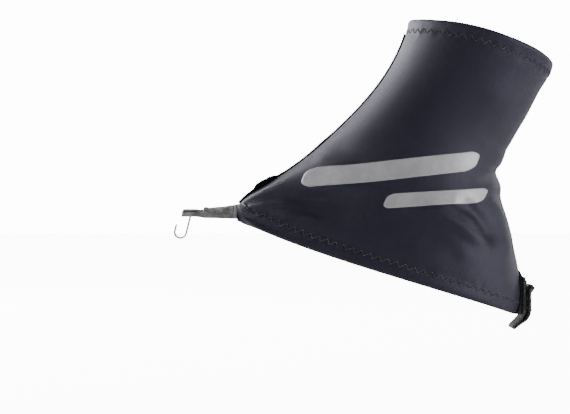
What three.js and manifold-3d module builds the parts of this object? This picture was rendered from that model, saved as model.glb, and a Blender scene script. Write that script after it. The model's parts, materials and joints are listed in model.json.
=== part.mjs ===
// A short stretch-fabric trail gaiter in the shape it has when worn: two side panels with turned hems,
// elastic in both hems, a stiffened toe tab with a wire lace hook, and a hook-and-loop strap at the heel.
//
// Millimetres. +X runs from toe to heel, +Y to the wearer's right, +Z up. The origin is the middle of the flat
// face at the heel strap's foot, which bears on the heel of the shoe. The dimensions are drawn from another
// point, the foot of the sleeve behind the heel, and the whole is moved at the end.

import * as THREE from "three";
import Module from "manifold-3d";
import { mergeVertices } from "three/addons/utils/BufferGeometryUtils.js";

// ---------------------------------------------------------------- driving dimensions

const GAP = 0.3; // clearance between neighbouring pieces

// Sleeve
const LEAN = THREE.MathUtils.degToRad(20); // backward lean of the leg
const FABRIC = 0.9; // panel thickness
const SEAM_HALF_GAP = 0.25; // half the gap between the two panels at the front and rear seams
const CUFF_HEM = 8; // depth of the turned hem at the leg
const SHOE_HEM = 8.5; // depth of the turned hem over the shoe
const ELASTIC = 0.8; // thickness of the elastic in the hems
const ELASTIC_INSET = 1.4; // elastic's distance from both ends of its hem channel
const FOLD_ROUND = 0.6; // how far a hem's fold bulges past its edge

const CUFF_FRONT = 138.5; // heights of the cuff's edge along the leg
const CUFF_REAR = 142.5;
const CUFF_CROWN = 4; // extra height of the cuff's edge at the sides
const HEM_FRONT = -3.3; // heights of the shoe hem's edge along the leg
const HEM_REAR = -1.4;
const HEM_SAG = 3.2; // extra drop of the shoe hem beside the instep
const HEM_SAG_SHIFT = 0.66; // under 1 moves that drop towards the toe

// Rings of the sleeve, square to the leg: height along the leg, reach of the front and of the rear edge,
// half width, and egg shape (over 0 is narrow at the front, under 0 narrow at the rear).
const RINGS = [
  { height: -8, front: -187.3, rear: -5.5, half: 42.5, egg: 0.36 },
  { height: 0, front: -181.7, rear: -3.8, half: 42.5, egg: 0.35 },
  { height: 6, front: -177.5, rear: -4.6, half: 42.2, egg: 0.34 },
  { height: 13, front: -172.4, rear: -7.1, half: 41.6, egg: 0.33 },
  { height: 22, front: -165.8, rear: -10.3, half: 40.6, egg: 0.31 },
  { height: 30, front: -159.0, rear: -15.6, half: 39.6, egg: 0.27 },
  { height: 38, front: -153.3, rear: -20.9, half: 38.6, egg: 0.22 },
  { height: 46, front: -148.5, rear: -27.4, half: 37.7, egg: 0.16 },
  { height: 54, front: -144.2, rear: -32.5, half: 36.9, egg: 0.1 },
  { height: 63, front: -139.2, rear: -36.9, half: 36.1, egg: 0.02 },
  { height: 74, front: -133.6, rear: -42.3, half: 35.4, egg: -0.06 },
  { height: 84, front: -129.6, rear: -42.4, half: 35.0, egg: -0.07 },
  { height: 96, front: -125.2, rear: -40.3, half: 34.9, egg: -0.05 },
  { height: 110, front: -121.8, rear: -38.0, half: 35.3, egg: -0.02 },
  { height: 124, front: -120.2, rear: -35.8, half: 36.2, egg: 0.01 },
  { height: 136, front: -121.0, rear: -33.6, half: 37.3, egg: 0.03 },
  { height: 150, front: -121.6, rear: -31.2, half: 38.2, egg: 0.04 },
];
const COLUMNS = 22; // facets round half the sleeve
const ROWS = 20; // facets up the sleeve

// Tapes, thread and reflective bars on the sleeve
const TAPE = 0.8; // thickness of the seam tapes
const TAPE_LIFT = 0.45; // height of the front tape over the panels, for the seam under it
const FRONT_TAPE_WIDTH = 5;
const REAR_TAPE_WIDTH = 9;
const TAPE_SLACK = 1.7; // how far the front tape stands off just above the toe tab
const TAPE_SLACK_HEIGHT = 18; // height of that slack along the leg
const TAPE_SLACK_SPAN = 10; // half its length
const THREAD = 0.45; // thread diameter
const ZIGZAG_WIDTH = 3;
const ZIGZAG_STEP = 2.7; // half the zigzag's repeat
const BAR_FILM = 0.4; // thickness of the reflective film
const BAR_LIFT = 0.5; // height of the film's underside over the panel
const BAR_SLANT = 0.55; // how far a bar's ends lean back, as a share of its width
// Reflective bars, seen from the side: middle of the toe end and of the heel end (reach, height along the
// leg), and width.
const BARS = {
  upper: { toe: [-146, 30], heel: [-58, 74], width: 11 },
  lower: { toe: [-100, 34], heel: [-47, 57], width: 8 },
};

// Toe tab: a stiffened arch over the tongue that ends in a folded webbing nose
const TAB_REAR = -166.6; // the seam with the sleeve
const TAB_FRONT = -186;
const TAB_LAYER = 0.9;
const TAB_EDGE_HEIGHT = 56.9; // height of the tab's side edges at its toe end
const TAB_FRONT_ARCH = { rise: 5.4, half: 8.6, power: 8 };
const LINING_FRONT = -176;
const NOSE_TIP = -198;
const NOSE_REAR = -176.6;
const NOSE_WIDTH = 11;
const NOSE_LAYER = 0.85; // webbing thickness
const NOSE_BASE = 57.4; // height of the webbing's underside
const TAB_STITCH_INSET = 2; // distance of the tab's stitches from the seam

// Lace hook: one bent wire whose spread ends lie in the fold of the webbing
const WIRE = 1.1;
const HOOK_AXIS_X = -193.4;
const HOOK_BAR_HALF = 4.6; // reach of each spread end from the middle
const HOOK_LEG_HALF = 1.7; // half the distance between the two legs
const HOOK_STEM = 12;
const HOOK_TILT = THREE.MathUtils.degToRad(14); // forward tilt of the stem at rest
const HOOK_BEND = 3.4; // radius of the hook's bend, to the wire's centre
const HOOK_BILL = 2.4; // straight end of the hook
const HOOK_SWING_FORWARD = THREE.MathUtils.degToRad(15);
const HOOK_SWING_BACK = THREE.MathUtils.degToRad(40);

// Heel strap: webbing sewn behind the heel, turned back on itself below and closed by two patches
const STRAP = 1.2; // webbing thickness
const STRAP_WIDTH = 20;
const STRAP_TOP = 22.5; // height of the sewn end
const STRAP_FACE = -1.1; // reach of the sewn end's front face
const STRAP_BEND_HEIGHT = 3;
const STRAP_BEND = 6; // bend radius towards the shoe
const TAIL = 6; // straight stretch against the shoe
const TAIL_ANGLE = Math.PI / 4;
const PATCH = 0.7; // thickness of a hook or loop patch
const PATCH_WIDTH = 17;
const PATCH_BOTTOM = 4;
const LOOP_PATCH_TOP = 20.5;
const HOOK_PATCH_TOP = 12.6;
const FLAP_STRAIGHT_TOP = 13;
const FLAP_TIP = [4.1, 17.6];
const FLAP_STITCH_INSET = 1.8;
const FLAP_STITCH_ENDS = [0.42, 0.8]; // shares of the flap's length

// ---------------------------------------------------------------- geometry helpers

const wasm = await Module();
wasm.setup();

const point = (x, y, z) => new THREE.Vector3(x, y, z);
const mix = THREE.MathUtils.lerp;

// Signed volume of a triangle list, to see which way its faces point.
function signedVolume(points, faces) {
  const cross = point(0, 0, 0);
  let volume = 0;
  for (const [a, b, c] of faces) {
    volume += cross.crossVectors(points[b], points[c]).dot(points[a]);
  }
  return volume / 6;
}

function geometryOf(points, faces) {
  const outward = signedVolume(points, faces) > 0;
  const index = faces.flatMap(([a, b, c]) => (outward ? [a, b, c] : [a, c, b]));
  const geometry = new THREE.BufferGeometry().setFromPoints(points);
  geometry.setIndex(index);
  geometry.computeVertexNormals();
  return geometry;
}

// A nearly flat loop's points in its own plane, as 2-D points.
function flatten(loop) {
  const normal = point(0, 0, 0);
  const cross = point(0, 0, 0);
  loop.forEach((p, i) => normal.add(cross.crossVectors(p, loop[(i + 1) % loop.length])));
  normal.normalize();
  const u = point(0, 1, 0).cross(normal);
  if (u.length() < 0.1) u.crossVectors(point(1, 0, 0), normal);
  u.normalize();
  const v = normal.clone().cross(u);
  return loop.map((p) => new THREE.Vector2(p.dot(u), p.dot(v)));
}

// Triangles that fill a loop, wound the way the loop runs.
function fill(loop) {
  const outline = flatten(loop);
  const clockwise = THREE.ShapeUtils.isClockWise(outline);
  return THREE.ShapeUtils.triangulateShape(outline, []).map(([a, b, c]) => {
    const agrees = THREE.ShapeUtils.isClockWise([outline[a], outline[b], outline[c]]) === clockwise;
    return agrees ? [a, b, c] : [a, c, b];
  });
}

// Joins a row of equal closed loops into one closed body, with flat ends or as a closed ring.
function loft(loops, ring = false) {
  const size = loops[0].length;
  const count = loops.length;
  const faces = [];
  for (let j = 0; j < (ring ? count : count - 1); j++) {
    const here = j * size;
    const next = ((j + 1) % count) * size;
    for (let i = 0; i < size; i++) {
      const k = (i + 1) % size;
      faces.push([here + i, next + i, next + k], [here + i, next + k, here + k]);
    }
  }
  if (!ring) {
    const last = (count - 1) * size;
    faces.push(...fill(loops[0]));
    faces.push(...fill(loops.at(-1)).map(([a, b, c]) => [last + a, last + c, last + b]));
  }
  return geometryOf(loops.flat(), faces);
}

function range(count, from, to) {
  return Array.from({ length: count + 1 }, (_, i) => mix(from, to, i / count));
}

function solidOf(geometry) {
  const bare = geometry.clone();
  bare.deleteAttribute("normal");
  bare.deleteAttribute("uv");
  const merged = mergeVertices(bare, 1e-4);
  return new wasm.Manifold(
    new wasm.Mesh({
      numProp: 3,
      vertProperties: merged.attributes.position.array,
      triVerts: new Uint32Array(merged.index.array),
    }),
  );
}

function geometryFrom(solid) {
  const mesh = solid.getMesh();
  const geometry = new THREE.BufferGeometry();
  geometry.setAttribute("position", new THREE.BufferAttribute(mesh.vertProperties, 3));
  geometry.setIndex(new THREE.BufferAttribute(mesh.triVerts, 1));
  geometry.computeVertexNormals();
  return geometry;
}

// ---------------------------------------------------------------- materials

function finish(color, roughness, metalness = 0) {
  return new THREE.MeshStandardMaterial({ color, roughness, metalness });
}

const MATERIALS = {
  stretchFabric: finish(0x2b2b35, 0.55),
  tape: finish(0x141416, 0.7),
  elastic: finish(0x1a1a1c, 0.85),
  thread: finish(0x17171a, 0.7),
  reflective: finish(0xb4b4b9, 0.4),
  coatedFabric: finish(0x3a3a3c, 0.6),
  webbing: finish(0x1c1c1d, 0.8),
  loopPile: finish(0x121213, 0.95),
  hookPile: finish(0x1e1e20, 0.7),
  wire: finish(0xc8c8cc, 0.25, 1),
};

const gaiter = new THREE.Group();
const leaned = new THREE.Group(); // parts drawn square to the leg
const upright = new THREE.Group(); // parts drawn square to the ground
leaned.rotation.y = LEAN;
gaiter.add(leaned, upright);

function addPart(group, name, geometry, material) {
  const mesh = new THREE.Mesh(geometry, material);
  mesh.name = name;
  group.add(mesh);
  return mesh;
}

// ---------------------------------------------------------------- sleeve form

const ringForm = new THREE.CubicInterpolant(
  RINGS.map((r) => r.height),
  RINGS.flatMap((r) => [r.front, r.rear, r.half, r.egg]),
  4,
);

// Widest value of sin(u) * (1 - egg * cos(u)), so that a ring's half width is what its name says.
function eggCrest(egg) {
  if (Math.abs(egg) < 1e-6) return 1;
  const cosine = (1 - Math.sqrt(1 + 8 * egg * egg)) / (4 * egg);
  return Math.sqrt(1 - cosine * cosine) * (1 - egg * cosine);
}

// Point of the sleeve's outer face. turn is 0 at the front seam and plus or minus pi at the rear one.
function onSleeve(turn, height) {
  const [front, rear, half, egg] = ringForm.evaluate(height);
  const x = mix(front, rear, (1 - Math.cos(turn)) / 2);
  const y = (half * Math.sin(turn) * (1 - egg * Math.cos(turn))) / eggCrest(egg);
  return point(x, y, height);
}

const STEP = 1e-3;

function sleeveNormal(turn, height) {
  const across = onSleeve(turn + STEP, height).sub(onSleeve(turn - STEP, height));
  const up = onSleeve(turn, height + STEP).sub(onSleeve(turn, height - STEP));
  return up.cross(across).normalize();
}

// Point at a distance outside the sleeve's outer face, or inside it if that is under 0.
function offSleeve(turn, height, distance) {
  return onSleeve(turn, height).addScaledVector(sleeveNormal(turn, height), distance);
}

const share = (turn) => (1 - Math.cos(turn)) / 2; // 0 at the front seam, 1 at the rear
const cuffEdge = (turn) => mix(CUFF_FRONT, CUFF_REAR, share(turn)) + CUFF_CROWN * Math.sin(turn) ** 2;
const hemEdge = (turn) =>
  mix(HEM_FRONT, HEM_REAR, share(turn)) - HEM_SAG * Math.sin(Math.PI * share(turn) ** HEM_SAG_SHIFT) ** 2;

// Turn at which the sleeve's side, seen from the side, has a given reach at a given height.
function turnAt(reach, height) {
  const [front, rear] = ringForm.evaluate(height);
  return Math.acos(1 - (2 * (reach - front)) / (rear - front));
}

// Turn at which the sleeve's edge is a given distance from the middle plane, near the front or rear seam.
function turnAtSide(distance, height, nearFront) {
  const [, , half, egg] = ringForm.evaluate(height);
  const slope = (half * (nearFront ? 1 - egg : 1 + egg)) / eggCrest(egg);
  const fromSeam = Math.asin(distance / slope);
  return nearFront ? fromSeam : Math.PI - fromSeam;
}

// ---------------------------------------------------------------- side panels

const HEM_CHANNEL = ELASTIC + 2 * GAP;
const HEM_INNER = FABRIC + HEM_CHANNEL; // depth of the hem's inner layer, at its outer face
const HEM_DEPTH = HEM_INNER + FABRIC;

// A panel's section at one turn, as [height, distance outside the outer face], once round.
function panelSection(turn) {
  const bottom = hemEdge(turn);
  const top = cuffEdge(turn);
  const rise = range(ROWS, 0, 1).map((v) => mix(bottom, top, v));
  const inside = rise.slice(1, -1).reverse();
  return [
    ...rise.map((h) => [h, 0]),
    [top + FOLD_ROUND, -HEM_DEPTH / 2],
    [top, -HEM_DEPTH],
    [top - CUFF_HEM, -HEM_DEPTH],
    [top - CUFF_HEM, -HEM_INNER],
    [top - FABRIC, -HEM_INNER],
    [top - FABRIC, -FABRIC],
    ...inside.map((h) => [h, -FABRIC]),
    [bottom + FABRIC, -FABRIC],
    [bottom + FABRIC, -HEM_INNER],
    [bottom + SHOE_HEM, -HEM_INNER],
    [bottom + SHOE_HEM, -HEM_DEPTH],
    [bottom, -HEM_DEPTH],
    [bottom - FOLD_ROUND, -HEM_DEPTH / 2],
  ];
}

function sidePanel(side) {
  const middle = (CUFF_FRONT + HEM_FRONT) / 2;
  const first = turnAtSide(SEAM_HALF_GAP, middle, true);
  const last = turnAtSide(SEAM_HALF_GAP, middle, false);
  const turns = [first, ...range(COLUMNS, 0, Math.PI).slice(1, -1), last];
  const loops = turns.map((turn) =>
    panelSection(turn).map(([height, distance]) => seamClear(side * turn, height, distance, side)),
  );
  return loft(loops);
}

// A point off the sleeve that never comes closer to the middle plane than the seam gap.
function seamClear(turn, height, distance, side) {
  const p = offSleeve(turn, height, distance);
  p.y = side * Math.max(side * p.y, SEAM_HALF_GAP);
  return p;
}

// ---------------------------------------------------------------- elastic in the hems

// A flat elastic band right round the sleeve, between two heights that depend on the turn.
function elasticBand(low, high) {
  const outer = -FABRIC - GAP;
  const inner = outer - ELASTIC;
  const loops = range(2 * COLUMNS, -Math.PI, Math.PI)
    .slice(0, -1)
    .map((turn) => [
      offSleeve(turn, low(turn), outer),
      offSleeve(turn, high(turn), outer),
      offSleeve(turn, high(turn), inner),
      offSleeve(turn, low(turn), inner),
    ]);
  return loft(loops, true);
}

// ---------------------------------------------------------------- seam tapes

// A tape along the front or rear seam: its faces lie at two distances off the sleeve.
function seamTape({ heights, width, nearFront, inner, outer, slack = () => 0 }) {
  const across = range(4, -1, 1);
  const loops = heights.map((height) => {
    const half = turnAtSide(width / 2, height, nearFront);
    const turnOf = (a) => (nearFront ? a * half : Math.PI + a * (Math.PI - half));
    const lift = (a) => slack(height) * (1 - a * a);
    return [
      ...across.map((a) => offSleeve(turnOf(a), height, outer + lift(a))),
      ...[...across].reverse().map((a) => offSleeve(turnOf(a), height, inner + lift(a))),
    ];
  });
  return loft(loops);
}

function tapeSlack(height) {
  const away = (height - TAPE_SLACK_HEIGHT) / TAPE_SLACK_SPAN;
  return Math.abs(away) < 1 ? TAPE_SLACK * Math.cos((away * Math.PI) / 2) ** 2 : 0;
}

const TAPE_START = 6.5; // height of the front tape's lower end, just behind the toe tab
const frontTape = seamTape({
  heights: range(24, TAPE_START, CUFF_FRONT - CUFF_HEM - GAP),
  width: FRONT_TAPE_WIDTH,
  nearFront: true,
  inner: TAPE_LIFT,
  outer: TAPE_LIFT + TAPE,
  slack: tapeSlack,
});
addPart(leaned, "front_seam_tape", frontTape, MATERIALS.tape);

const rearTape = seamTape({
  heights: range(ROWS, HEM_REAR + SHOE_HEM + GAP, CUFF_REAR - CUFF_HEM - GAP),
  width: REAR_TAPE_WIDTH,
  nearFront: false,
  inner: -FABRIC - GAP - TAPE,
  outer: -FABRIC - GAP,
});
addPart(leaned, "rear_seam_tape", rearTape, MATERIALS.tape);

// ---------------------------------------------------------------- hem stitching

// Square section of a thread at each point of its run. up and side are the section's two directions.
function threadLoops(run) {
  const r = THREAD / 2;
  return run.map(({ at, up, side }) =>
    [
      [r, 0],
      [0, r],
      [-r, 0],
      [0, -r],
    ].map(([a, b]) => at.clone().addScaledVector(up, a).addScaledVector(side, b)),
  );
}

// Turns that split the sleeve's girth along a line of given heights into an even number of equal steps.
function evenTurns(line, step) {
  const fine = range(720, -Math.PI, Math.PI);
  const lengths = [0];
  for (let i = 1; i < fine.length; i++) {
    const from = onSleeve(fine[i - 1], line(fine[i - 1]));
    lengths.push(lengths[i - 1] + from.distanceTo(onSleeve(fine[i], line(fine[i]))));
  }
  const girth = lengths.at(-1);
  const count = 2 * Math.round(girth / step / 2);
  const turns = [];
  for (let n = 0, i = 1; n < count; n++) {
    const wanted = (girth * (n + 0.5)) / count;
    while (lengths[i] < wanted) i++;
    turns.push(mix(fine[i - 1], fine[i], (wanted - lengths[i - 1]) / (lengths[i] - lengths[i - 1])));
  }
  return turns;
}

// Zigzag thread round the sleeve, centred on a line of given heights.
function zigzag(line) {
  const lift = GAP + THREAD / 2;
  const run = evenTurns(line, ZIGZAG_STEP).map((turn, n) => {
    const height = line(turn) + (n % 2 ? 0.5 : -0.5) * (ZIGZAG_WIDTH - THREAD);
    return { at: offSleeve(turn, height, lift), up: sleeveNormal(turn, height), side: point(0, 0, 1) };
  });
  return loft(threadLoops(run), true);
}

const cuffStitchLine = (turn) => cuffEdge(turn) - CUFF_HEM + ZIGZAG_WIDTH / 2;
const hemStitchLine = (turn) => hemEdge(turn) + SHOE_HEM - ZIGZAG_WIDTH / 2;

// ---------------------------------------------------------------- reflective bars

// A slanted parallel-sided bar of film on one side of the sleeve.
function reflectiveBar({ toe, heel, width }, side) {
  const from = new THREE.Vector2(...toe);
  const along = new THREE.Vector2(...heel).sub(from);
  const across = new THREE.Vector2(-along.y, along.x).normalize();
  const lean = along.clone().normalize();
  const widths = range(3, -0.5, 0.5);
  const at = (s, a, distance) => {
    const p = from.clone().addScaledVector(along, s).addScaledVector(across, a * width);
    p.addScaledVector(lean, a * width * BAR_SLANT);
    return offSleeve(side * turnAt(p.x, p.y), p.y, distance);
  };
  const loops = range(20, 0, 1).map((s) => [
    ...widths.map((a) => at(s, a, BAR_LIFT + BAR_FILM)),
    ...[...widths].reverse().map((a) => at(s, a, BAR_LIFT)),
  ]);
  return loft(loops);
}

for (const [name, bar] of Object.entries(BARS)) {
  addPart(leaned, `reflective_bar_${name}_left`, reflectiveBar(bar, -1), MATERIALS.reflective);
  addPart(leaned, `reflective_bar_${name}_right`, reflectiveBar(bar, 1), MATERIALS.reflective);
}

// ---------------------------------------------------------------- cut at the toe seam

const seamNormal = [Math.cos(LEAN), 0, Math.sin(LEAN)]; // level forward-to-back line, seen from the leaned parts

// The largest piece of a leaned part that lies behind the toe seam.
function behindToeSeam(geometry, clearance = 0) {
  const kept = solidOf(geometry).trimByPlane(seamNormal, TAB_REAR + GAP + clearance);
  const pieces = kept.decompose();
  pieces.sort((a, b) => b.volume() - a.volume());
  return geometryFrom(pieces[0]);
}

addPart(leaned, "side_panel_left", behindToeSeam(sidePanel(-1)), MATERIALS.stretchFabric);
addPart(leaned, "side_panel_right", behindToeSeam(sidePanel(1)), MATERIALS.stretchFabric);

const cuffElastic = elasticBand(
  (turn) => cuffEdge(turn) - CUFF_HEM + ELASTIC_INSET,
  (turn) => cuffEdge(turn) - FABRIC - GAP,
);
const hemElastic = elasticBand(
  (turn) => hemEdge(turn) + FABRIC + GAP,
  (turn) => hemEdge(turn) + SHOE_HEM - ELASTIC_INSET,
);
addPart(leaned, "cuff_elastic", cuffElastic, MATERIALS.elastic);
addPart(leaned, "hem_elastic", behindToeSeam(hemElastic, 1), MATERIALS.elastic);
addPart(leaned, "cuff_stitching", zigzag(cuffStitchLine), MATERIALS.thread);
addPart(leaned, "hem_stitching", behindToeSeam(zigzag(hemStitchLine), 1), MATERIALS.thread);

// ---------------------------------------------------------------- toe tab

// Point of the sleeve's outer face in the toe seam's plane, upright, at a turn.
function onToeSeam(turn) {
  let low = -12;
  let high = 30;
  for (let n = 0; n < 40; n++) {
    const middle = (low + high) / 2;
    const p = onSleeve(turn, middle);
    if (p.x * Math.cos(LEAN) + p.z * Math.sin(LEAN) < TAB_REAR) low = middle;
    else high = middle;
  }
  return onSleeve(turn, low).applyAxisAngle(point(0, 1, 0), LEAN);
}

// Turn at which the toe seam meets the shoe hem's edge.
function toeSeamEdge() {
  let low = 0;
  let high = 1;
  for (let n = 0; n < 40; n++) {
    const middle = (low + high) / 2;
    const p = onSleeve(middle, hemEdge(middle));
    if (p.x * Math.cos(LEAN) + p.z * Math.sin(LEAN) < TAB_REAR) low = middle;
    else high = middle;
  }
  return low;
}

const TAB_EDGE_TURN = toeSeamEdge();

// Point of the toe tab's outer face: reach along the shoe, and across from -1 to 1.
function onTab(reach, across) {
  const forward = (TAB_REAR - reach) / (TAB_REAR - TAB_FRONT);
  const { rise, half, power } = TAB_FRONT_ARCH;
  const front = point(0, across * half, TAB_EDGE_HEIGHT + rise * (1 - Math.abs(across) ** power));
  const rear = onToeSeam(across * TAB_EDGE_TURN);
  return point(reach, mix(rear.y, front.y, forward), mix(rear.z, front.z, forward));
}

function tabNormal(reach, across) {
  const inside = THREE.MathUtils.clamp(across, -1 + STEP, 1 - STEP);
  const sideways = onTab(reach, inside + STEP).sub(onTab(reach, inside - STEP));
  const forward = onTab(reach - STEP, inside).sub(onTab(reach + STEP, inside));
  return sideways.cross(forward).normalize();
}

const offTab = (reach, across, distance) =>
  onTab(reach, across).addScaledVector(tabNormal(reach, across), distance);

// One layer of the toe tab between two reaches, its faces at two distances off the outer one.
function tabLayer(rear, front, outer, inner, span = 1) {
  const widths = range(16, -1, 1).map((a) => span * Math.sin((a * Math.PI) / 2));
  const loops = range(6, rear, front).map((reach) => [
    ...widths.map((a) => offTab(reach, a, outer)),
    ...[...widths].reverse().map((a) => offTab(reach, a, inner)),
  ]);
  return loft(loops);
}

// Webbing turned back on itself round the hook's bar, with a slot below for the hook's legs.
function noseWebbing() {
  const fold = NOSE_LAYER + WIRE / 2 + GAP;
  const middle = NOSE_BASE + fold;
  const tip = NOSE_TIP + fold;
  const outline = new THREE.Shape();
  outline.moveTo(NOSE_REAR, middle - fold);
  outline.lineTo(NOSE_REAR, middle - fold + NOSE_LAYER);
  outline.lineTo(tip, middle - fold + NOSE_LAYER);
  outline.absarc(tip, middle, fold - NOSE_LAYER, -Math.PI / 2, Math.PI / 2, true);
  outline.lineTo(NOSE_REAR, middle + fold - NOSE_LAYER);
  outline.lineTo(NOSE_REAR, middle + fold);
  outline.lineTo(tip, middle + fold);
  outline.absarc(tip, middle, fold, Math.PI / 2, (3 * Math.PI) / 2, false);
  const webbing = across(outline, NOSE_WIDTH);
  const reach = (tilt) => fold * Math.tan(tilt) + WIRE / 2 / Math.cos(tilt) + GAP;
  const ahead = reach(HOOK_TILT + HOOK_SWING_FORWARD);
  const behind = reach(HOOK_SWING_BACK - HOOK_TILT);
  const slot = new THREE.BoxGeometry(ahead + behind, 2 * HOOK_LEG_HALF + WIRE + 2 * GAP, 2 * NOSE_LAYER);
  slot.translate(HOOK_AXIS_X + (behind - ahead) / 2, 0, NOSE_BASE);
  return geometryFrom(solidOf(webbing).subtract(solidOf(slot)));
}

// A side-view shape, drawn in reach and height, given width across the gaiter.
function across(shape, width, curveSegments = 8) {
  const geometry = new THREE.ExtrudeGeometry(shape, { depth: width, bevelEnabled: false, curveSegments });
  geometry.translate(0, 0, -width / 2);
  geometry.rotateX(Math.PI / 2);
  return geometry;
}

// Straight run of thread over the tab, just ahead of the seam.
function tabThread() {
  const reach = TAB_REAR - GAP - TAB_STITCH_INSET;
  const run = range(20, -0.94, 0.94).map((a) => ({
    at: offTab(reach, a, GAP + THREAD / 2),
    up: tabNormal(reach, a),
    side: point(1, 0, 0),
  }));
  return loft(threadLoops(run));
}

const toeTab = new THREE.Group();
upright.add(toeTab);
addPart(toeTab, "toe_tab_upper", tabLayer(TAB_REAR, TAB_FRONT, 0, -TAB_LAYER), MATERIALS.coatedFabric);
addPart(
  toeTab,
  "toe_tab_lining",
  tabLayer(TAB_REAR, LINING_FRONT, -TAB_LAYER - GAP, -2 * TAB_LAYER - GAP, 0.9),
  MATERIALS.coatedFabric,
);
addPart(toeTab, "toe_tab_webbing", noseWebbing(), MATERIALS.webbing);
addPart(toeTab, "toe_tab_stitching", tabThread(), MATERIALS.thread);

// ---------------------------------------------------------------- lace hook

// Centre line of the doubled wire: along one spread end, down a leg, round the bend and back.
function hookPath() {
  const down = point(-Math.sin(HOOK_TILT), 0, -Math.cos(HOOK_TILT));
  const ahead = point(-Math.cos(HOOK_TILT), 0, Math.sin(HOOK_TILT));
  const axis = point(HOOK_AXIS_X, 0, NOSE_BASE + NOSE_LAYER + WIRE / 2 + GAP);
  const leg = [];
  leg.push(axis.clone().addScaledVector(down, 0.9));
  leg.push(axis.clone().addScaledVector(down, HOOK_STEM));
  const centre = leg[1].clone().addScaledVector(ahead, HOOK_BEND);
  for (const turn of range(8, 0, Math.PI).slice(1)) {
    const p = centre.clone().addScaledVector(ahead, -HOOK_BEND * Math.cos(turn));
    leg.push(p.addScaledVector(down, HOOK_BEND * Math.sin(turn)));
  }
  leg.push(leg.at(-1).clone().addScaledVector(down, -HOOK_BILL));
  const closing = leg.at(-1).clone().addScaledVector(down, -HOOK_LEG_HALF);
  const bar = [axis.clone().setY(HOOK_BAR_HALF), axis.clone().setY(HOOK_LEG_HALF + 0.9)];
  const half = [...bar, ...leg.map((p) => p.clone().setY(HOOK_LEG_HALF))];
  return [...half, closing, ...half.map((p) => p.clone().setY(-p.y)).reverse()];
}

function laceHook() {
  const path = new THREE.CatmullRomCurve3(hookPath(), false, "centripetal");
  const round = new THREE.Shape().absarc(0, 0, WIRE / 2, 0, 2 * Math.PI);
  return new THREE.ExtrudeGeometry(round, {
    extrudePath: path,
    steps: 70,
    curveSegments: 4,
    bevelEnabled: false,
  });
}

addPart(toeTab, "lace_hook", laceHook(), MATERIALS.wire);

// ---------------------------------------------------------------- heel strap

const STRAP_LINE = STRAP_TOP - STRAP_BEND_HEIGHT; // straight stretch above the bend
const BEND_LENGTH = STRAP_BEND * TAIL_ANGLE;
const STRAP_LENGTH = STRAP_LINE + BEND_LENGTH + TAIL;

// Place beside the strap in side view: a distance down the strap from its top, and a distance behind its
// front face.
function besideStrap(down, behind) {
  const angle = THREE.MathUtils.clamp((down - STRAP_LINE) / STRAP_BEND, 0, TAIL_ANGLE);
  const radius = STRAP_BEND + behind;
  const x = STRAP_FACE - STRAP_BEND + radius * Math.cos(angle);
  const z = STRAP_BEND_HEIGHT - radius * Math.sin(angle);
  const beyond = Math.max(down - STRAP_LINE - BEND_LENGTH, 0) + Math.min(down - STRAP_LINE, 0);
  return new THREE.Vector2(x - beyond * Math.sin(angle), z - beyond * Math.cos(angle));
}

const downAt = (height) => STRAP_TOP - height; // on the straight stretch only

// Shape in side view between two distances behind the strap's front face.
function strapShape(from, to, inner, outer, count = 12) {
  const downs = range(count, from, to);
  const shape = [...downs.map((d) => besideStrap(d, inner)), ...downs.reverse().map((d) => besideStrap(d, outer))];
  return new THREE.Shape(shape);
}

const LOOP_FACE = STRAP + GAP; // where each layer starts behind the strap's front face
const HOOK_FACE = LOOP_FACE + PATCH + GAP;
const FLAP_FACE = HOOK_FACE + PATCH + GAP;

addPart(upright, "heel_strap", heelStrap(), MATERIALS.webbing);

// The strap's standing part, with the fold at its foot that turns up towards the flap.
function heelStrap() {
  const foldMiddle = STRAP + GAP / 2;
  const points = [...range(16, 0, STRAP_LENGTH).map((d) => besideStrap(d, 0))];
  const centre = besideStrap(STRAP_LENGTH, foldMiddle);
  const along = new THREE.Vector2(-Math.sin(TAIL_ANGLE), -Math.cos(TAIL_ANGLE));
  const rearward = new THREE.Vector2(Math.cos(TAIL_ANGLE), -Math.sin(TAIL_ANGLE));
  const round = (radius, turn) =>
    centre
      .clone()
      .addScaledVector(rearward, -radius * Math.cos(turn))
      .addScaledVector(along, radius * Math.sin(turn));
  points.push(...range(8, 0, Math.PI).slice(1).map((turn) => round(foldMiddle, turn)));
  points.push(...range(4, Math.PI, 0).map((turn) => round(GAP / 2, turn)));
  points.push(...range(16, STRAP_LENGTH, 0).slice(1).map((d) => besideStrap(d, STRAP)));
  return across(new THREE.Shape(points), STRAP_WIDTH);
}

const heelFlap = new THREE.Group();
upright.add(heelFlap);

// Distance of the flap's front face behind the strap's: close at the fold, clear of the patches above.
function flapFace(down) {
  const open = THREE.MathUtils.smoothstep(STRAP_LENGTH - down, 2, STRAP_LENGTH - downAt(PATCH_BOTTOM) - 0.5);
  return mix(STRAP + GAP, FLAP_FACE, open);
}

// Middle line of the flap from its tip down to the fold, in side view, as points and rearward directions.
function flapLine() {
  const straight = range(18, STRAP_LENGTH - GAP, downAt(FLAP_STRAIGHT_TOP)).map((d) => besideStrap(d, flapFace(d)));
  const tip = new THREE.Vector2(...FLAP_TIP);
  const last = straight.at(-1);
  const lean = range(4, 0, 1).slice(1).map((t) => new THREE.Vector2(mix(last.x, tip.x, t * t), mix(last.y, tip.y, t)));
  return [...straight, ...lean];
}

function directions(line) {
  return line.map((p, i) => {
    const from = line[Math.max(i - 1, 0)];
    const to = line[Math.min(i + 1, line.length - 1)];
    const along = to.clone().sub(from).normalize();
    return new THREE.Vector2(along.y, -along.x);
  });
}

const FLAP_LINE = flapLine();
const FLAP_REARWARD = directions(FLAP_LINE);

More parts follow.
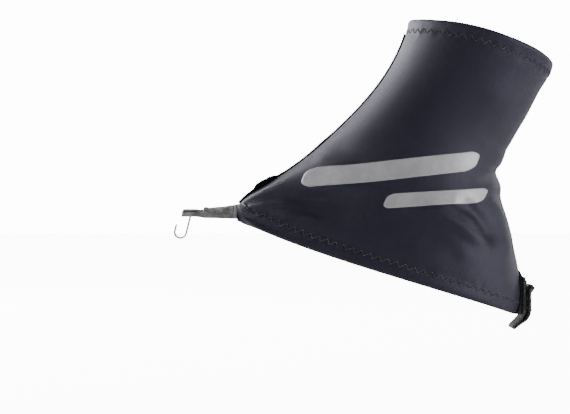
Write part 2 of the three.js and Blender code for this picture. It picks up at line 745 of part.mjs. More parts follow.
// Place behind the flap's front face at a distance along it, from 0 at the fold to 1 at the tip.
function besideFlap(s, behind) {
  const i = Math.min(Math.floor(s * (FLAP_LINE.length - 1)), FLAP_LINE.length - 2);
  const t = s * (FLAP_LINE.length - 1) - i;
  const at = FLAP_LINE[i].clone().lerp(FLAP_LINE[i + 1], t);
  return at.addScaledVector(FLAP_REARWARD[i].clone().lerp(FLAP_REARWARD[i + 1], t), behind);
}

const FLAP_TIP_SHARE = 0.88; // where the flap's turned-over tip begins
const FLAP_TIP_THICK = 0.9;

function flapShape() {
  const s = range(22, 0, 1);
  const rear = (t) => STRAP + FLAP_TIP_THICK * THREE.MathUtils.smoothstep(t, FLAP_TIP_SHARE - 0.03, FLAP_TIP_SHARE);
  return new THREE.Shape([...s.map((t) => besideFlap(t, 0)), ...[...s].reverse().map((t) => besideFlap(t, rear(t)))]);
}

addPart(heelFlap, "heel_flap", across(flapShape(), STRAP_WIDTH), MATERIALS.webbing);
addPart(
  upright,
  "heel_loop_patch",
  across(strapShape(downAt(LOOP_PATCH_TOP), downAt(PATCH_BOTTOM), LOOP_FACE, LOOP_FACE + PATCH, 2), PATCH_WIDTH),
  MATERIALS.loopPile,
);
addPart(
  heelFlap,
  "heel_hook_patch",
  across(strapShape(downAt(HOOK_PATCH_TOP), downAt(PATCH_BOTTOM), HOOK_FACE, HOOK_FACE + PATCH, 2), PATCH_WIDTH),
  MATERIALS.hookPile,
);

// Thread across the sewn end of the strap.
function strapThread() {
  const height = (STRAP_TOP + LOOP_PATCH_TOP) / 2;
  const half = STRAP_WIDTH / 2 - 1;
  const run = range(1, -half, half).map((y) => ({
    at: point(STRAP_FACE + STRAP + GAP + THREAD / 2, y, height),
    up: point(1, 0, 0),
    side: point(0, 0, 1),
  }));
  return loft(threadLoops(run));
}

// Thread round the outline of the hook patch, on the flap's rear face.
function flapThread() {
  const half = STRAP_WIDTH / 2 - FLAP_STITCH_INSET;
  const lift = STRAP + GAP + THREAD / 2;
  const place = (s, side, along) => {
    const p = besideFlap(s, lift);
    const q = besideFlap(s, lift + 1).sub(p).normalize();
    const up = point(q.x, 0, q.y);
    const inward = point(-q.y, 0, q.x).multiplyScalar(along).add(point(0, -side, 0));
    return { at: point(p.x, side * half, p.y), up, side: inward };
  };
  const [low, high] = FLAP_STITCH_ENDS;
  const middle = range(7, low, high).slice(1, -1);
  const run = [place(low, 1, 1), ...middle.map((s) => place(s, 1, 0)), place(high, 1, -1)];
  run.push(place(high, -1, -1), ...middle.reverse().map((s) => place(s, -1, 0)), place(low, -1, 1));
  return loft(threadLoops(run), true);
}

addPart(upright, "heel_strap_stitching", strapThread(), MATERIALS.thread);
addPart(heelFlap, "heel_flap_stitching", flapThread(), MATERIALS.thread);

const footing = besideStrap(STRAP_LENGTH - TAIL / 2, 0);
gaiter.position.set(-footing.x, 0, -footing.y);

export default gaiter;
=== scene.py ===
"""A short stretch-fabric trail gaiter in its worn shape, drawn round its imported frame.

The script works in millimetres and turns them into metres where a mesh is made. Two sets of axes are used:
the row's own, and the leaned one, whose third axis runs up the leg. The sleeve's rings lie square to that.
"""

import json
import math
from collections import namedtuple

import bpy
import numpy as np
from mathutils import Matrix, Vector
from mathutils.bvhtree import BVHTree
from numpy.polynomial import Chebyshev


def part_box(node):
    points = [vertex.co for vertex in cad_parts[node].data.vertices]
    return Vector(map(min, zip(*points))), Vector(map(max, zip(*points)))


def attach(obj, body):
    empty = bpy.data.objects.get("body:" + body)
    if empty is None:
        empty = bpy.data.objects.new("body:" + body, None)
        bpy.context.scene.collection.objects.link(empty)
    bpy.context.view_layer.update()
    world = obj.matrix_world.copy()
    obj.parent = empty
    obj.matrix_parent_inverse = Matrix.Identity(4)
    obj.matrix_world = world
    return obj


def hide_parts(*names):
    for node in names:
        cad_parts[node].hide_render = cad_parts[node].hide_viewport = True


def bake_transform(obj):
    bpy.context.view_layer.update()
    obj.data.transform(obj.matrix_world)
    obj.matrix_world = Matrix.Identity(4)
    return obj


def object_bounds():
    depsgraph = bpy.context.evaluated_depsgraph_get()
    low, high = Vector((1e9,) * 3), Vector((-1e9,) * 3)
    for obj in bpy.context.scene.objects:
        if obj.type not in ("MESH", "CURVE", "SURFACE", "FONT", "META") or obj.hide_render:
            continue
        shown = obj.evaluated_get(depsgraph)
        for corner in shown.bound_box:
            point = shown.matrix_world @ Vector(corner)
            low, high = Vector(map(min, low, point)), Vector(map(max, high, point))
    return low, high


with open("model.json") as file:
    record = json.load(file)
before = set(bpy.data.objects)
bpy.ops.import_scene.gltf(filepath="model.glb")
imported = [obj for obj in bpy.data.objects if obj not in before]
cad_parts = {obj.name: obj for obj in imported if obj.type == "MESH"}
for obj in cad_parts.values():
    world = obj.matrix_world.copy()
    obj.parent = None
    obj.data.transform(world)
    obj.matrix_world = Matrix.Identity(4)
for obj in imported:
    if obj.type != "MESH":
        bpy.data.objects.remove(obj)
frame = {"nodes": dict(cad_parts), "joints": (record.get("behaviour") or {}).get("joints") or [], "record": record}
CAD_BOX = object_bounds()

MM = 0.001
LEFT, RIGHT = -1, 1
SIDES = {"left": LEFT, "right": RIGHT}

# ---------------------------------------------------------------- camera

CAMERA_DISTANCE = 1100.0
VIEW_MIDDLE = (-133.7, 66.3)  # the view's middle, along the shoe and up
VIEW_WIDTH = 332.0
SENSOR_WIDTH = 36.0


def camera():
    data = bpy.data.cameras.new("camera")
    data.sensor_width = SENSOR_WIDTH
    data.lens = SENSOR_WIDTH * CAMERA_DISTANCE / VIEW_WIDTH
    view = bpy.data.objects.new("camera", data)
    view.location = (VIEW_MIDDLE[0] * MM, -CAMERA_DISTANCE * MM, VIEW_MIDDLE[1] * MM)
    view.rotation_euler = (math.pi / 2, 0, 0)
    bpy.context.scene.collection.objects.link(view)
    bpy.context.scene.camera = view


camera()

# ---------------------------------------------------------------- driving sizes, mm

FABRIC = 0.75  # thickness of the stretch fabric
HEM_DEPTH = 3.2  # thickness of a turned hem with its elastic
CUFF_HEM = 8.0  # height of each turned hem
SHOE_HEM = 8.5
HEM_EASE = 0.8  # how far the shoe hem rides up between its ends
SEAM_GAP = 0.02  # each panel's distance from the middle plane
PANEL_COLUMNS = 150
PANEL_ROWS = 132
FOLD_ROWS = 7
HEM_ROWS = 6

STITCH_THREAD = 0.42
FINE_THREAD = 0.36
TAB_THREAD = 0.4
TAB_STITCH_PITCH = 1.5
STRAP_STITCH_PITCH = 1.7
ZIGZAG_WIDTH = 2.9
ZIGZAG_STEP = 2.6
STITCHES_PER_LEG = 3
LADDER_STEP = 1.25  # between the rungs of the rear seam's thread
LADDER_REACH = 1.55  # from the seam to each end of a rung
TAPE_FOOT = 9.6  # height of the front tape's lower end, at the toe seam

TAB_CLOTH = 0.75  # thickness of the toe tab's coated fabric
NOSE_WEBBING = 0.85
STRAIGHT_ROWS = 34  # rows of the nose webbing's mesh along each straight layer
TACK_BEHIND = 4.3  # how far the bar tack lies behind the hook's bar
WIRE = 0.55  # radius of the hook's wire
LEG = 1.7  # distance of each leg of the hook from the middle plane

# ---------------------------------------------------------------- reading the frame


def node_points(name):
    """A CAD node's vertices, in mm, in the row's axes."""
    return np.array([v.co for v in frame["nodes"][name].data.vertices]) / MM


def node_box(name):
    """A CAD node's low and high corner, in mm."""
    return [np.array(corner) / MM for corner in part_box(name)]


def face_tree(name, points):
    """A tree for casting rays at a CAD node, whose vertices are given in the axes of the rays."""
    faces = [tuple(f.vertices) for f in frame["nodes"][name].data.polygons]
    return BVHTree.FromPolygons([Vector(p) for p in points], faces)


def mount(name):
    return next(m for m in frame["record"]["mounts"] if m["name"] == name)


def joint_place(name):
    """A joint's place, in mm."""
    joint = next(j for j in frame["joints"] if j["name"] == name)
    return np.array(joint["pos_m"]) / MM


LEG_AXIS = mount("leg_opening")["axis"]
HOOK_AXIS = joint_place("lace_hook_swing")
FLAP_PIVOT = joint_place("heel_flap_peel")
TACK_PLACE = HOOK_AXIS[0] + TACK_BEHIND
COS, SIN = LEG_AXIS[2], LEG_AXIS[0]


def to_leaned(p):
    p = np.asarray(p, float)
    return np.stack([p[..., 0] * COS - p[..., 2] * SIN, p[..., 1], p[..., 0] * SIN + p[..., 2] * COS], -1)


def to_row(p):
    p = np.asarray(p, float)
    return np.stack([p[..., 0] * COS + p[..., 2] * SIN, p[..., 1], -p[..., 0] * SIN + p[..., 2] * COS], -1)


def unit(v):
    return v / np.maximum(np.linalg.norm(v, axis=-1, keepdims=True), 1e-12)


def smooth(t):
    t = np.clip(t, 0, 1)
    return t * t * (3 - 2 * t)


# ---------------------------------------------------------------- sleeve form


class Curve:
    """A smooth curve through measured values, straight beyond its ends."""

    def __init__(self, x, y, degree):
        self.fit = Chebyshev.fit(x, y, degree)
        self.slope = self.fit.deriv()
        self.low, self.high = float(np.min(x)), float(np.max(x))

    def __call__(self, x):
        inside = np.clip(x, self.low, self.high)
        return self.fit(inside) + self.slope(inside) * (x - inside)


class Sleeve:
    """The sleeve's outer face, measured on the frame's left side panel.

    A place on it is a turn, 0 at the front seam and pi at the rear one, below 0 on the left, and a height
    along the leg.
    """

    RING_STEP = 3.0

    def __init__(self):
        points = to_leaned(node_points("side_panel_left"))
        self.tree = face_tree("side_panel_left", points)
        self.low, self.high = points[:, 2].min(), points[:, 2].max()
        self.middle = points[:, 0].mean()
        self.toe_cut = float(node_box("side_panel_left")[0][0])
        self.front, self.rear = self.seam_line(1, 7), self.seam_line(-1, 10)
        self.shape = self.measure_rings()
        self.bottom = self.measure_crest(points, np.argmin, 0.52)
        self.top = self.measure_crest(points, np.argmax, 0.1)

    def hit(self, start, direction):
        return self.tree.ray_cast(Vector(start), Vector(direction))[0]

    def seam_line(self, direction, degree):
        """The front or the rear seam as a curve over the height, found by rays just beside it."""
        found = []
        for height in np.arange(self.low + 2, self.high - 4, self.RING_STEP):
            place = self.hit((self.middle - 300 * direction, -0.7, height), (direction, 0, 0))
            if place is None or (place.x - self.middle) * direction > 0:
                continue
            if place.x * COS + height * SIN > self.toe_cut + 1:
                found.append((height, place.x))
        return Curve(*np.array(found).T, degree)

    def measure_rings(self):
        """Half widths of the rings as a short series, whose factors are curves over the height."""
        turns = np.radians(np.linspace(10, 170, 17))
        terms = []
        for height in np.arange(self.low + 1, self.high - 1, self.RING_STEP):
            rows, widths = [], []
            for turn in turns:
                x = self.along(height, (1 - math.cos(turn)) / 2)
                place = self.hit((x, -150, height), (0, 1, 0))
                if place is not None:
                    rows.append(self.ring_terms(turn))
                    widths.append(-place.y)
            if len(rows) > 8:
                terms.append((height, *np.linalg.lstsq(np.array(rows), np.array(widths), rcond=None)[0]))
        terms = np.array(terms)
        return [Curve(terms[:, 0], terms[:, k], 7) for k in range(1, 5)]

    @staticmethod
    def ring_terms(turn):
        return np.stack([np.sin(turn) * np.cos(k * turn) for k in range(4)], -1)

    def measure_crest(self, points, pick, first):
        """The crest of a hem's fold as a smooth function of the turn, measured from a first turn on."""
        turns = self.turn_at(points[:, 2], points[:, 0])
        rows, heights = [], []
        for start in np.arange(first, math.pi - 0.1, 0.1):
            near = (turns >= start) & (turns < start + 0.15)
            if not near.any():
                continue
            found = np.flatnonzero(near)[pick(points[near, 2])]
            rows.append(np.cos(np.arange(5) * turns[found]))
            heights.append(points[found, 2])
        k = np.linalg.lstsq(np.array(rows), np.array(heights), rcond=None)[0]
        ease = HEM_EASE if pick is np.argmin else 0.0

        def crest(turn):
            waves = sum(k[n] * np.cos(n * np.asarray(turn)) for n in range(5))
            return waves + ease * np.sin(turn) ** 2

        return crest

    def along(self, height, share):
        """How far along the shoe a ring reaches at a share of its way from front to rear."""
        front, rear = self.front(height), self.rear(height)
        return front + (rear - front) * share

    def turn_at(self, height, x):
        """Turn of the place on a ring that lies x along the shoe."""
        front, rear = self.front(height), self.rear(height)
        return np.arccos(1 - 2 * np.clip((x - front) / (rear - front), 0, 1))

    def first_turn(self, height):
        """Turn at which the toe seam cuts a ring, or 0 above the seam."""
        return self.turn_at(height, (self.toe_cut - height * SIN) / COS)

    def face(self, turn, height):
        turn, height = np.broadcast_arrays(np.asarray(turn, float), np.asarray(height, float))
        x = self.along(height, (1 - np.cos(turn)) / 2)
        terms = self.ring_terms(turn)
        y = sum(terms[..., k] * self.shape[k](height) for k in range(4))
        return np.stack([x, y, height], -1)

    def normal(self, turn, height):
        step = 2e-3
        around = self.face(turn + step, height) - self.face(turn - step, height)
        up = self.face(turn, height + 0.1) - self.face(turn, height - 0.1)
        return unit(np.cross(up, around))


sleeve = Sleeve()

# ---------------------------------------------------------------- folds of the worn fabric

# Each fold: its rise in mm, how wide it is on its upper and on its lower side, how strong it is on the
# right compared with the left, and its route as (share of the way from front to rear, height up the leg).
Fold = namedtuple("Fold", "rise wide right route")

FOLDS = [
    # over the instep, from the toe seam backwards
    Fold(
        3.7, (12, 3.2), 0.9, [(0.01, 7), (0.048, 15.8), (0.1, 27.9), (0.19, 36.5), (0.32, 42), (0.44, 43)]
    ),
    Fold(-2.9, (4, 10), 0.8, [(0.09, 20), (0.17, 25.4), (0.255, 28.8), (0.36, 32)]),
    Fold(1.1, (2.5, 4), 1.0, [(0.02, 5), (0.086, 9.8), (0.16, 14.3), (0.25, 15.5), (0.34, 14)]),
    Fold(0.8, (2, 2), 0.9, [(0.02, 6), (0.07, 13), (0.12, 19), (0.18, 21.5)]),
    # past the ankle and down to the heel
    Fold(-1.3, (5, 7), 0.7, [(0.38, 41), (0.54, 33.2), (0.68, 26), (0.80, 17)]),
    Fold(2.2, (3.5, 4), 0.8, [(0.52, 46), (0.665, 43), (0.78, 38.5), (0.85, 33)]),
    Fold(1.3, (2.5, 2.5), 0.8, [(0.55, 50), (0.66, 49), (0.75, 45), (0.80, 40)]),
    Fold(-2.6, (3.5, 4.5), 1.0, [(0.70, 54), (0.81, 51), (0.868, 43), (0.85, 32)]),
    Fold(2.3, (4, 4), 0.8, [(0.89, 62), (0.955, 55), (0.958, 42), (0.91, 27)]),
    # from the rear seam forwards
    Fold(-2.1, (3, 3.5), 1.1, [(1.0, 78), (0.96, 77), (0.88, 71.5), (0.74, 69)]),
    Fold(0.5, (3, 4), 0.8, [(1.0, 87), (0.93, 88), (0.84, 89.5), (0.73, 92)]),
    Fold(1.0, (3, 4), 1.2, [(1.0, 70), (0.95, 68), (0.87, 63)]),
    Fold(0.4, (6, 7), 1.0, [(0.99, 98), (0.90, 100), (0.78, 105)]),
    # faint ones elsewhere
    Fold(-0.45, (6, 6), 1.3, [(0.02, 65), (0.10, 59), (0.22, 55), (0.34, 54)]),
    Fold(0.4, (4, 5), 1.2, [(0.03, 51), (0.12, 47), (0.24, 47)]),
    Fold(0.5, (8, 7), 0.8, [(0.30, 65), (0.46, 59), (0.60, 57)]),
    Fold(0.35, (7, 8), 1.1, [(0.55, 124), (0.75, 116), (0.92, 112)]),
    Fold(0.6, (5, 5), 1.2, [(0.62, 20), (0.72, 26), (0.80, 26)]),
]


def fold_path(fold):
    """The fold's route in side view, in mm, as a smooth line, with the fold's strength at each point."""
    route = np.array(fold.route, float)
    t = np.linspace(0, len(route) - 1, 12 * len(route))
    at = np.arange(len(route))
    degree = min(3, len(route) - 1)
    share, height = (np.polynomial.Polynomial.fit(at, route[:, k], degree)(t) for k in range(2))
    ends = t / t[-1]
    strength = smooth(ends / 0.3) * smooth((1 - ends) / 0.35)
    starts_at_seam = route[0, 0] < 0.02 or route[0, 0] > 0.98
    if starts_at_seam:
        strength = smooth((1 - ends) / 0.5)
    return np.stack([sleeve.along(height, share), height], -1), strength


FOLD_PATHS = [(fold, *fold_path(fold)) for fold in FOLDS]


def folds(turn, height):
    """How far the fabric stands off the smooth form, in mm."""
    place = sleeve.face(turn, height)
    x, h = place[..., 0], place[..., 2]
    total = np.zeros_like(x)
    for fold, path, strength in FOLD_PATHS:
        nearest = np.full(x.shape, 1e9)
        above = np.zeros(x.shape)
        power = np.zeros(x.shape)
        for (px, ph), s in zip(path, strength):
            distance = np.hypot(x - px, h - ph)
            closer = distance < nearest
            nearest = np.where(closer, distance, nearest)
            above = np.where(closer, h - ph, above)
            power = np.where(closer, s, power)
        wide = np.where(above > 0, *fold.wide)
        side = np.where(np.asarray(turn) > 0, fold.right, 1.0)
        total += fold.rise * side * power * np.exp(-((nearest / wide) ** 2))
    near_front = smooth((np.abs(turn) - 0.1) / 0.4)
    return total * calm_at_hems(turn, height) * near_front


def calm_at_hems(turn, height):
    """1 over the sleeve and 0 at the hems, whose elastic holds them smooth."""
    above = height - sleeve.bottom(turn)
    below = sleeve.top(turn) - height
    return smooth((above - 3) / 9) * smooth((below - CUFF_HEM) / 10)


def hem_ripple(turn, height):
    """Small gathers that the elastic draws in both hems, strongest along the stitching."""
    around = turn * 31.0 + 1.7 * np.sin(turn * 5.0) + 0.9 * np.sin(turn * 11.0 + 1.0)
    wave = np.sin(around) + 0.5 * np.sin(around * 1.73 + 0.6)
    cuff = np.exp(-(((sleeve.top(turn) - height - CUFF_HEM) / 3.0) ** 2))
    hem = np.exp(-(((height - sleeve.bottom(turn) - SHOE_HEM) / 3.2) ** 2))
    return 0.11 * wave * (cuff + 1.3 * hem) - 0.22 * (cuff + hem)


def toe_tension(turn, height):
    """Fine lines of tension that fan out from the toe tab."""
    fan_height = 4.0
    x = sleeve.face(turn, height)[..., 0] - sleeve.front(fan_height)
    h = height - fan_height
    distance = np.hypot(x, h)
    angle = np.arctan2(h, np.maximum(x, 1e-6))
    fade = smooth((distance - 2) / 10) * np.exp(-((distance / 46) ** 2))
    beside = smooth((np.abs(turn) - 0.05) / 0.2)
    return 0.85 * fade * np.sin(angle * 19 + 0.8 * np.sign(turn)) * beside


def seam_dip(turn, height):
    """The panels' edges roll inwards at the front and rear seams."""
    place = sleeve.face(turn, height)
    return -0.75 * np.exp(-((np.abs(place[..., 1]) / 1.1) ** 2))


def drape(turn, height):
    fine = hem_ripple(turn, height) + toe_tension(turn, height)
    return folds(turn, height) + fine + seam_dip(turn, height)


def skin(turn, height, lift=0.0):
    """A place on the draped fabric, or over it by lift, in the leaned axes."""
    turn, height = np.broadcast_arrays(np.asarray(turn, float), np.asarray(height, float))
    normal = sleeve.normal(turn, height)
    return sleeve.face(turn, height) + normal * (drape(turn, height) + lift)[..., None]


# ---------------------------------------------------------------- mesh tools


def make_mesh(name, points, faces, uv=None):
    """A mesh object from points in mm in the row's axes. uv is each point's place on the cloth, in mm."""
    data = bpy.data.meshes.new(name)
    data.from_pydata([tuple(p) for p in np.asarray(points, float) * MM], [], [tuple(f) for f in faces])
    if uv is not None:
        layer = data.uv_layers.new(name="cloth")
        corner = np.zeros(len(data.loops), int)
        data.loops.foreach_get("vertex_index", corner)
        layer.data.foreach_set("uv", (np.asarray(uv, float)[corner] * MM).ravel())
    data.validate()
    return smooth_object(name, data)


def smooth_object(name, data):
    data.polygons.foreach_set("use_smooth", [True] * len(data.polygons))
    data.update()
    piece = bpy.data.objects.new(name, data)
    bpy.context.scene.collection.objects.link(piece)
    return piece


def grid_faces(rows, columns, offset=0, flip=False, wrap=False):
    faces = []
    for r in range(rows - 1):
        for c in range(columns if wrap else columns - 1):
            d = (c + 1) % columns
            a, b = offset + r * columns + c, offset + r * columns + d
            face = (a, b, b + columns, a + columns)
            faces.append(face[::-1] if flip else face)
    return faces


def rim_faces(rows, columns, offset):
    """Joins the edges of two equal grids, the second one offset by the first one's size."""
    edge = [(0, c) for c in range(columns)] + [(r, columns - 1) for r in range(1, rows)]
    edge += [(rows - 1, c) for c in range(columns - 2, -1, -1)] + [(r, 0) for r in range(rows - 2, 0, -1)]
    at = [r * columns + c for r, c in edge]
    return [(at[i], at[i - 1], at[i - 1] + offset, at[i] + offset) for i in range(len(at))]


def lengths_along(points, axis):
    steps = np.linalg.norm(np.diff(points, axis=axis), axis=-1)
    start = np.zeros_like(np.take(steps, [0], axis=axis))
    return np.concatenate([start, np.cumsum(steps, axis=axis)], axis=axis)


def two_sided(name, outer, inner, flip=False):
    """A sheet with two faces, each a grid of points, joined round the edge."""
    rows, columns = outer.shape[:2]
    count = rows * columns
    points = np.concatenate([outer.reshape(-1, 3), inner.reshape(-1, 3)])
    faces = grid_faces(rows, columns, 0, flip) + grid_faces(rows, columns, count, not flip)
    rim = rim_faces(rows, columns, count)
    faces += [f[::-1] for f in rim] if flip else rim
    across = lengths_along(outer, 1)
    uv = np.stack([across - across[:, -1:] / 2, lengths_along(outer, 0)], -1).reshape(-1, 2)
    return make_mesh(name, points, faces, np.concatenate([uv, uv]))


def tube(points, radius, sides, up):
    """Points and faces of a round tube along a line, with flat ends."""
    along = unit(np.gradient(points, axis=0))
    side = unit(np.cross(along, np.broadcast_to(up, points.shape)))
    up = unit(np.cross(side, along))
    turn = np.arange(sides) * 2 * math.pi / sides
    ring = np.cos(turn)[None, :, None] * side[:, None] + np.sin(turn)[None, :, None] * up[:, None]
    rings = points[:, None] + ring * radius[:, None, None]
    last = (len(points) - 1) * sides
    faces = grid_faces(len(points), sides, wrap=True)
    faces.append(tuple(range(sides - 1, -1, -1)))
    faces.append(tuple(last + k for k in range(sides)))
    return rings.reshape(-1, 3), faces


def joined(parts):
    """Several (points, faces) as one."""
    points, faces, count = [], [], 0
    for p, f in parts:
        points.append(p)
        faces += [tuple(v + count for v in face) for face in f]
        count += len(p)
    return np.concatenate(points), faces


def stitch(start, end, up, thread=STITCH_THREAD):
    """One sewn stitch: a thread that comes out of the cloth, lies along it and dives back in."""
    start, end, up = (np.asarray(p, float) for p in (start, end, up))
    t = np.linspace(0, 1, 7)
    rise = np.sin(t * math.pi) ** 0.6
    line = start + (end - start) * t[:, None] + up * ((rise - 0.75) * thread * 0.9)[:, None]
    radius = thread / 2 * (0.72 + 0.28 * np.sin(t * math.pi))
    return tube(line, radius, 6, up)


def value_at(mark, length, values):
    """Values given along a line, read at a distance along it."""
    return np.array([np.interp(mark, length, values[:, k]) for k in range(values.shape[1])])


def stitch_places(line, pitch):
    """Start and end of each of a line's even stitches, and how far along the line its middle lies."""
    length = lengths_along(line, 0)
    count = max(1, round(length[-1] / pitch))
    for n in range(count):
        marks = (np.array([n + 0.12, n + 0.88]) / count) * length[-1]
        yield value_at(marks[0], length, line), value_at(marks[1], length, line), marks.mean()


# ---------------------------------------------------------------- side panels


def panel_rows(turn):
    """Rows of a panel from the raw edge inside the shoe hem, over the outside, to the one inside the cuff.

    Returns heights and depths, both measured to the fabric's outer face, and the outward lean of each row.
    """
    radius = HEM_DEPTH / 2
    low, high = sleeve.bottom(turn) + radius, sleeve.top(turn) - radius
    rows = []
    for t in np.linspace(0, 1, HEM_ROWS)[:-1]:
        rows.append((low + (SHOE_HEM - radius) * (1 - t), HEM_DEPTH, -1.0, 0.0))
    for a in np.linspace(math.pi, 0, FOLD_ROWS):
        rows.append((low - radius * math.sin(a), radius * (1 - math.cos(a)), math.cos(a), -math.sin(a)))
    for t in np.linspace(0, 1, PANEL_ROWS)[1:-1]:
        rows.append((low + (high - low) * t, 0.0, 1.0, 0.0))
    for a in np.linspace(0, math.pi, FOLD_ROWS):
        rows.append((high + radius * math.sin(a), radius * (1 - math.cos(a)), math.cos(a), math.sin(a)))
    for t in np.linspace(0, 1, HEM_ROWS)[1:]:
        rows.append((high - (CUFF_HEM - radius) * t, HEM_DEPTH, -1.0, 0.0))
    return rows


def panel_turns():
    """Each column's share of the way round, the turns of the first column, and those of all points."""
    q = np.linspace(0, 1, PANEL_COLUMNS)
    turn = math.pi * q
    for _ in range(8):
        heights = np.array([np.broadcast_to(row[0], q.shape) for row in panel_rows(turn)])
        first = sleeve.first_turn(heights)
        turns = first + (math.pi - first) * q
        turn = turns[len(turns) // 20]
    return q, first, turns


def panel_faces(side):
    """The panel's outer and inner face, as grids of points in the row's axes."""
    q, first, turns = panel_turns()
    rows = [panel_rows(turn)[k] for k, turn in enumerate(turns)]
    heights = np.array([np.broadcast_to(row[0], q.shape) for row in rows])
    depths, lean_out, lean_up = (np.array([row[k] for row in rows])[:, None] for k in (1, 2, 3))
    turns = turns * side
    normal = sleeve.normal(turns, heights)
    outside = sleeve.face(turns, heights) + normal * (drape(turns, heights) - depths)[..., None]
    upward = np.broadcast_to(np.array([0.0, 0.0, 1.0]), normal.shape)
    inside = outside - (normal * lean_out[..., None] + upward * lean_up[..., None]) * FABRIC
    near_cut = np.clip(1 - q / 0.08, 0, 1) ** 2
    grids = []
    for grid in (outside, inside):
        grid[..., 1] = side * np.maximum(side * grid[..., 1], SEAM_GAP)
        grid = to_row(grid)
        grid[..., 0] += np.where(first[:, :1] > 0.01, sleeve.toe_cut - grid[:, :1, 0], 0.0) * near_cut
        grids.append(grid)
    return grids


def flat_size(middle):
    """Width, length and area of a panel laid flat, in metres, measured on its mid-face."""
    width = float(lengths_along(middle, 1)[:, -1].max()) * MM
    length = float(lengths_along(middle, 0)[-1].max()) * MM
    corner = middle[:-1, :-1]
    cells = np.linalg.norm(np.cross(middle[1:, :-1] - corner, middle[:-1, 1:] - corner), axis=-1)
    return width, length, float(cells.sum()) * MM * MM


def side_panel(name, side):
    outside, inside = panel_faces(side)
    piece = two_sided(name, outside, inside, flip=side > 0)
    return settle(piece, "stretch_fabric", "sleeve", name), flat_size((outside + inside) / 2)


# ---------------------------------------------------------------- materials

GROUPS = {}


class Nodes:
    """Short calls for building a node tree."""

    def __init__(self, tree):
        self.tree = tree

    def new(self, kind, **inputs):
        node = self.tree.nodes.new("ShaderNode" + kind)
        for key, value in inputs.items():
            self.set(node, key, value)
        return node

    def set(self, node, key, value):
        """Sets or links an input, given by its name with _ for each space, or a number after i."""
        name = int(key[1:]) if key[0] == "i" and key[1:].isdigit() else key.replace("_", " ")
        socket = node.inputs[name]
        if isinstance(value, bpy.types.NodeSocket):
            self.tree.links.new(value, socket)
        else:
            socket.default_value = value

    def math(self, operation, a, b=0.0, clamp=False):
        node = self.tree.nodes.new("ShaderNodeMath")
        node.operation = operation
        node.use_clamp = clamp
        self.set(node, "i0", a)
        self.set(node, "i1", b)
        return node.outputs[0]

    def times(self, a, b, clamp=False):
        return self.math("MULTIPLY", a, b, clamp)

    def plus(self, a, b):
        return self.math("ADD", a, b)

    def minus(self, a, b):
        return self.math("SUBTRACT", a, b)

    def humps(self, a):
        """One round hump for each whole step of the input."""
        return self.math("ABSOLUTE", self.math("SINE", self.times(a, math.pi)))

    def mix(self, factor, a, b, blend="MIX"):
        node = self.tree.nodes.new("ShaderNodeMix")
        node.data_type = "RGBA"
        node.blend_type = blend
        for socket, value in (("i0", factor), ("i6", a), ("i7", b)):
            self.set(node, socket, value)
        return node.outputs[2]

    def ramp(self, factor, low, high):
        """0 below low, 1 above high, smooth between."""
        node = self.tree.nodes.new("ShaderNodeMapRange")
        node.interpolation_type = "SMOOTHSTEP"
        for key, value in (("Value", factor), ("From_Min", low), ("From_Max", high)):
            self.set(node, key, value)
        return node.outputs[0]

    def noise(self, vector, scale, detail=3.0, roughness=0.5):
        node = self.new("TexNoise", Vector=vector, Scale=scale, Detail=detail, Roughness=roughness)
        return node.outputs[0]

    def cloth_place(self):
        node = self.tree.nodes.new("ShaderNodeUVMap")
        node.uv_map = "cloth"
        return node.outputs[0]

    def row_place(self):
        return self.tree.nodes.new("ShaderNodeTexCoord").outputs["Object"]


def group(name, inputs, outputs):
    """Decorates a function that fills a shader node group, which is built once."""

    def build(fill):
        tree = bpy.data.node_groups.new(name, "ShaderNodeTree")
        for label, kind, value in inputs:
            socket = tree.interface.new_socket(label, in_out="INPUT", socket_type="NodeSocket" + kind)
            if value is not None:
                socket.default_value = value
        for label, kind in outputs:
            tree.interface.new_socket(label, in_out="OUTPUT", socket_type="NodeSocket" + kind)
        entry = tree.nodes.new("NodeGroupInput")
        leave = tree.nodes.new("NodeGroupOutput")
        made = fill(Nodes(tree), entry.outputs)
        for label, value in made.items():
            tree.links.new(value, leave.inputs[label])
        GROUPS[name] = tree
        return fill

    return build


@group(
    "Knit Courses",
    [
        ("Place", "Vector", None),
        ("Courses per metre", "Float", 1100.0),
        ("Wales per metre", "Float", 900.0),
    ],
    [("Height", "Float"), ("Loops", "Float")],
)
def knit_courses(n, given):
    """Rows of interlocked loops. Height is their relief, Loops the shade of each loop's legs."""
    split = n.new("SeparateXYZ", Vector=given["Place"])
    wale = n.times(split.outputs[0], given["Wales per metre"])
    course = n.times(split.outputs[1], given["Courses per metre"])
    tilt = n.times(n.math("PINGPONG", course, 0.5), 0.6)
    legs = n.humps(n.plus(wale, tilt))
    bars = n.humps(course)
    height = n.plus(n.times(legs, 0.6), n.times(bars, 0.4))
    return {"Height": height, "Loops": n.times(legs, bars)}


@group(
    "Plain Weave",
    [("Place", "Vector", None), ("Yarns per metre", "Float", 1500.0), ("Stretch", "Float", 1.0)],
    [("Height", "Float"), ("Yarn", "Float")],
)
def plain_weave(n, given):
    """Over-and-under weave. Yarn is 1 where the crosswise yarn lies on top."""
    split = n.new("SeparateXYZ", Vector=given["Place"])
    u = n.times(split.outputs[0], given["Yarns per metre"])
    v = n.times(n.times(split.outputs[1], given["Yarns per metre"]), given["Stretch"])
    warp = n.humps(u)
    weft = n.humps(v)
    over = n.plus(n.math("FLOOR", u), n.math("FLOOR", v))
    over = n.math("GREATER_THAN", n.math("MODULO", n.math("ABSOLUTE", over), 2.0), 0.5)
    under = n.minus(1.0, over)
    height = n.plus(n.times(warp, over), n.times(weft, under))
    return {"Height": height, "Yarn": over}


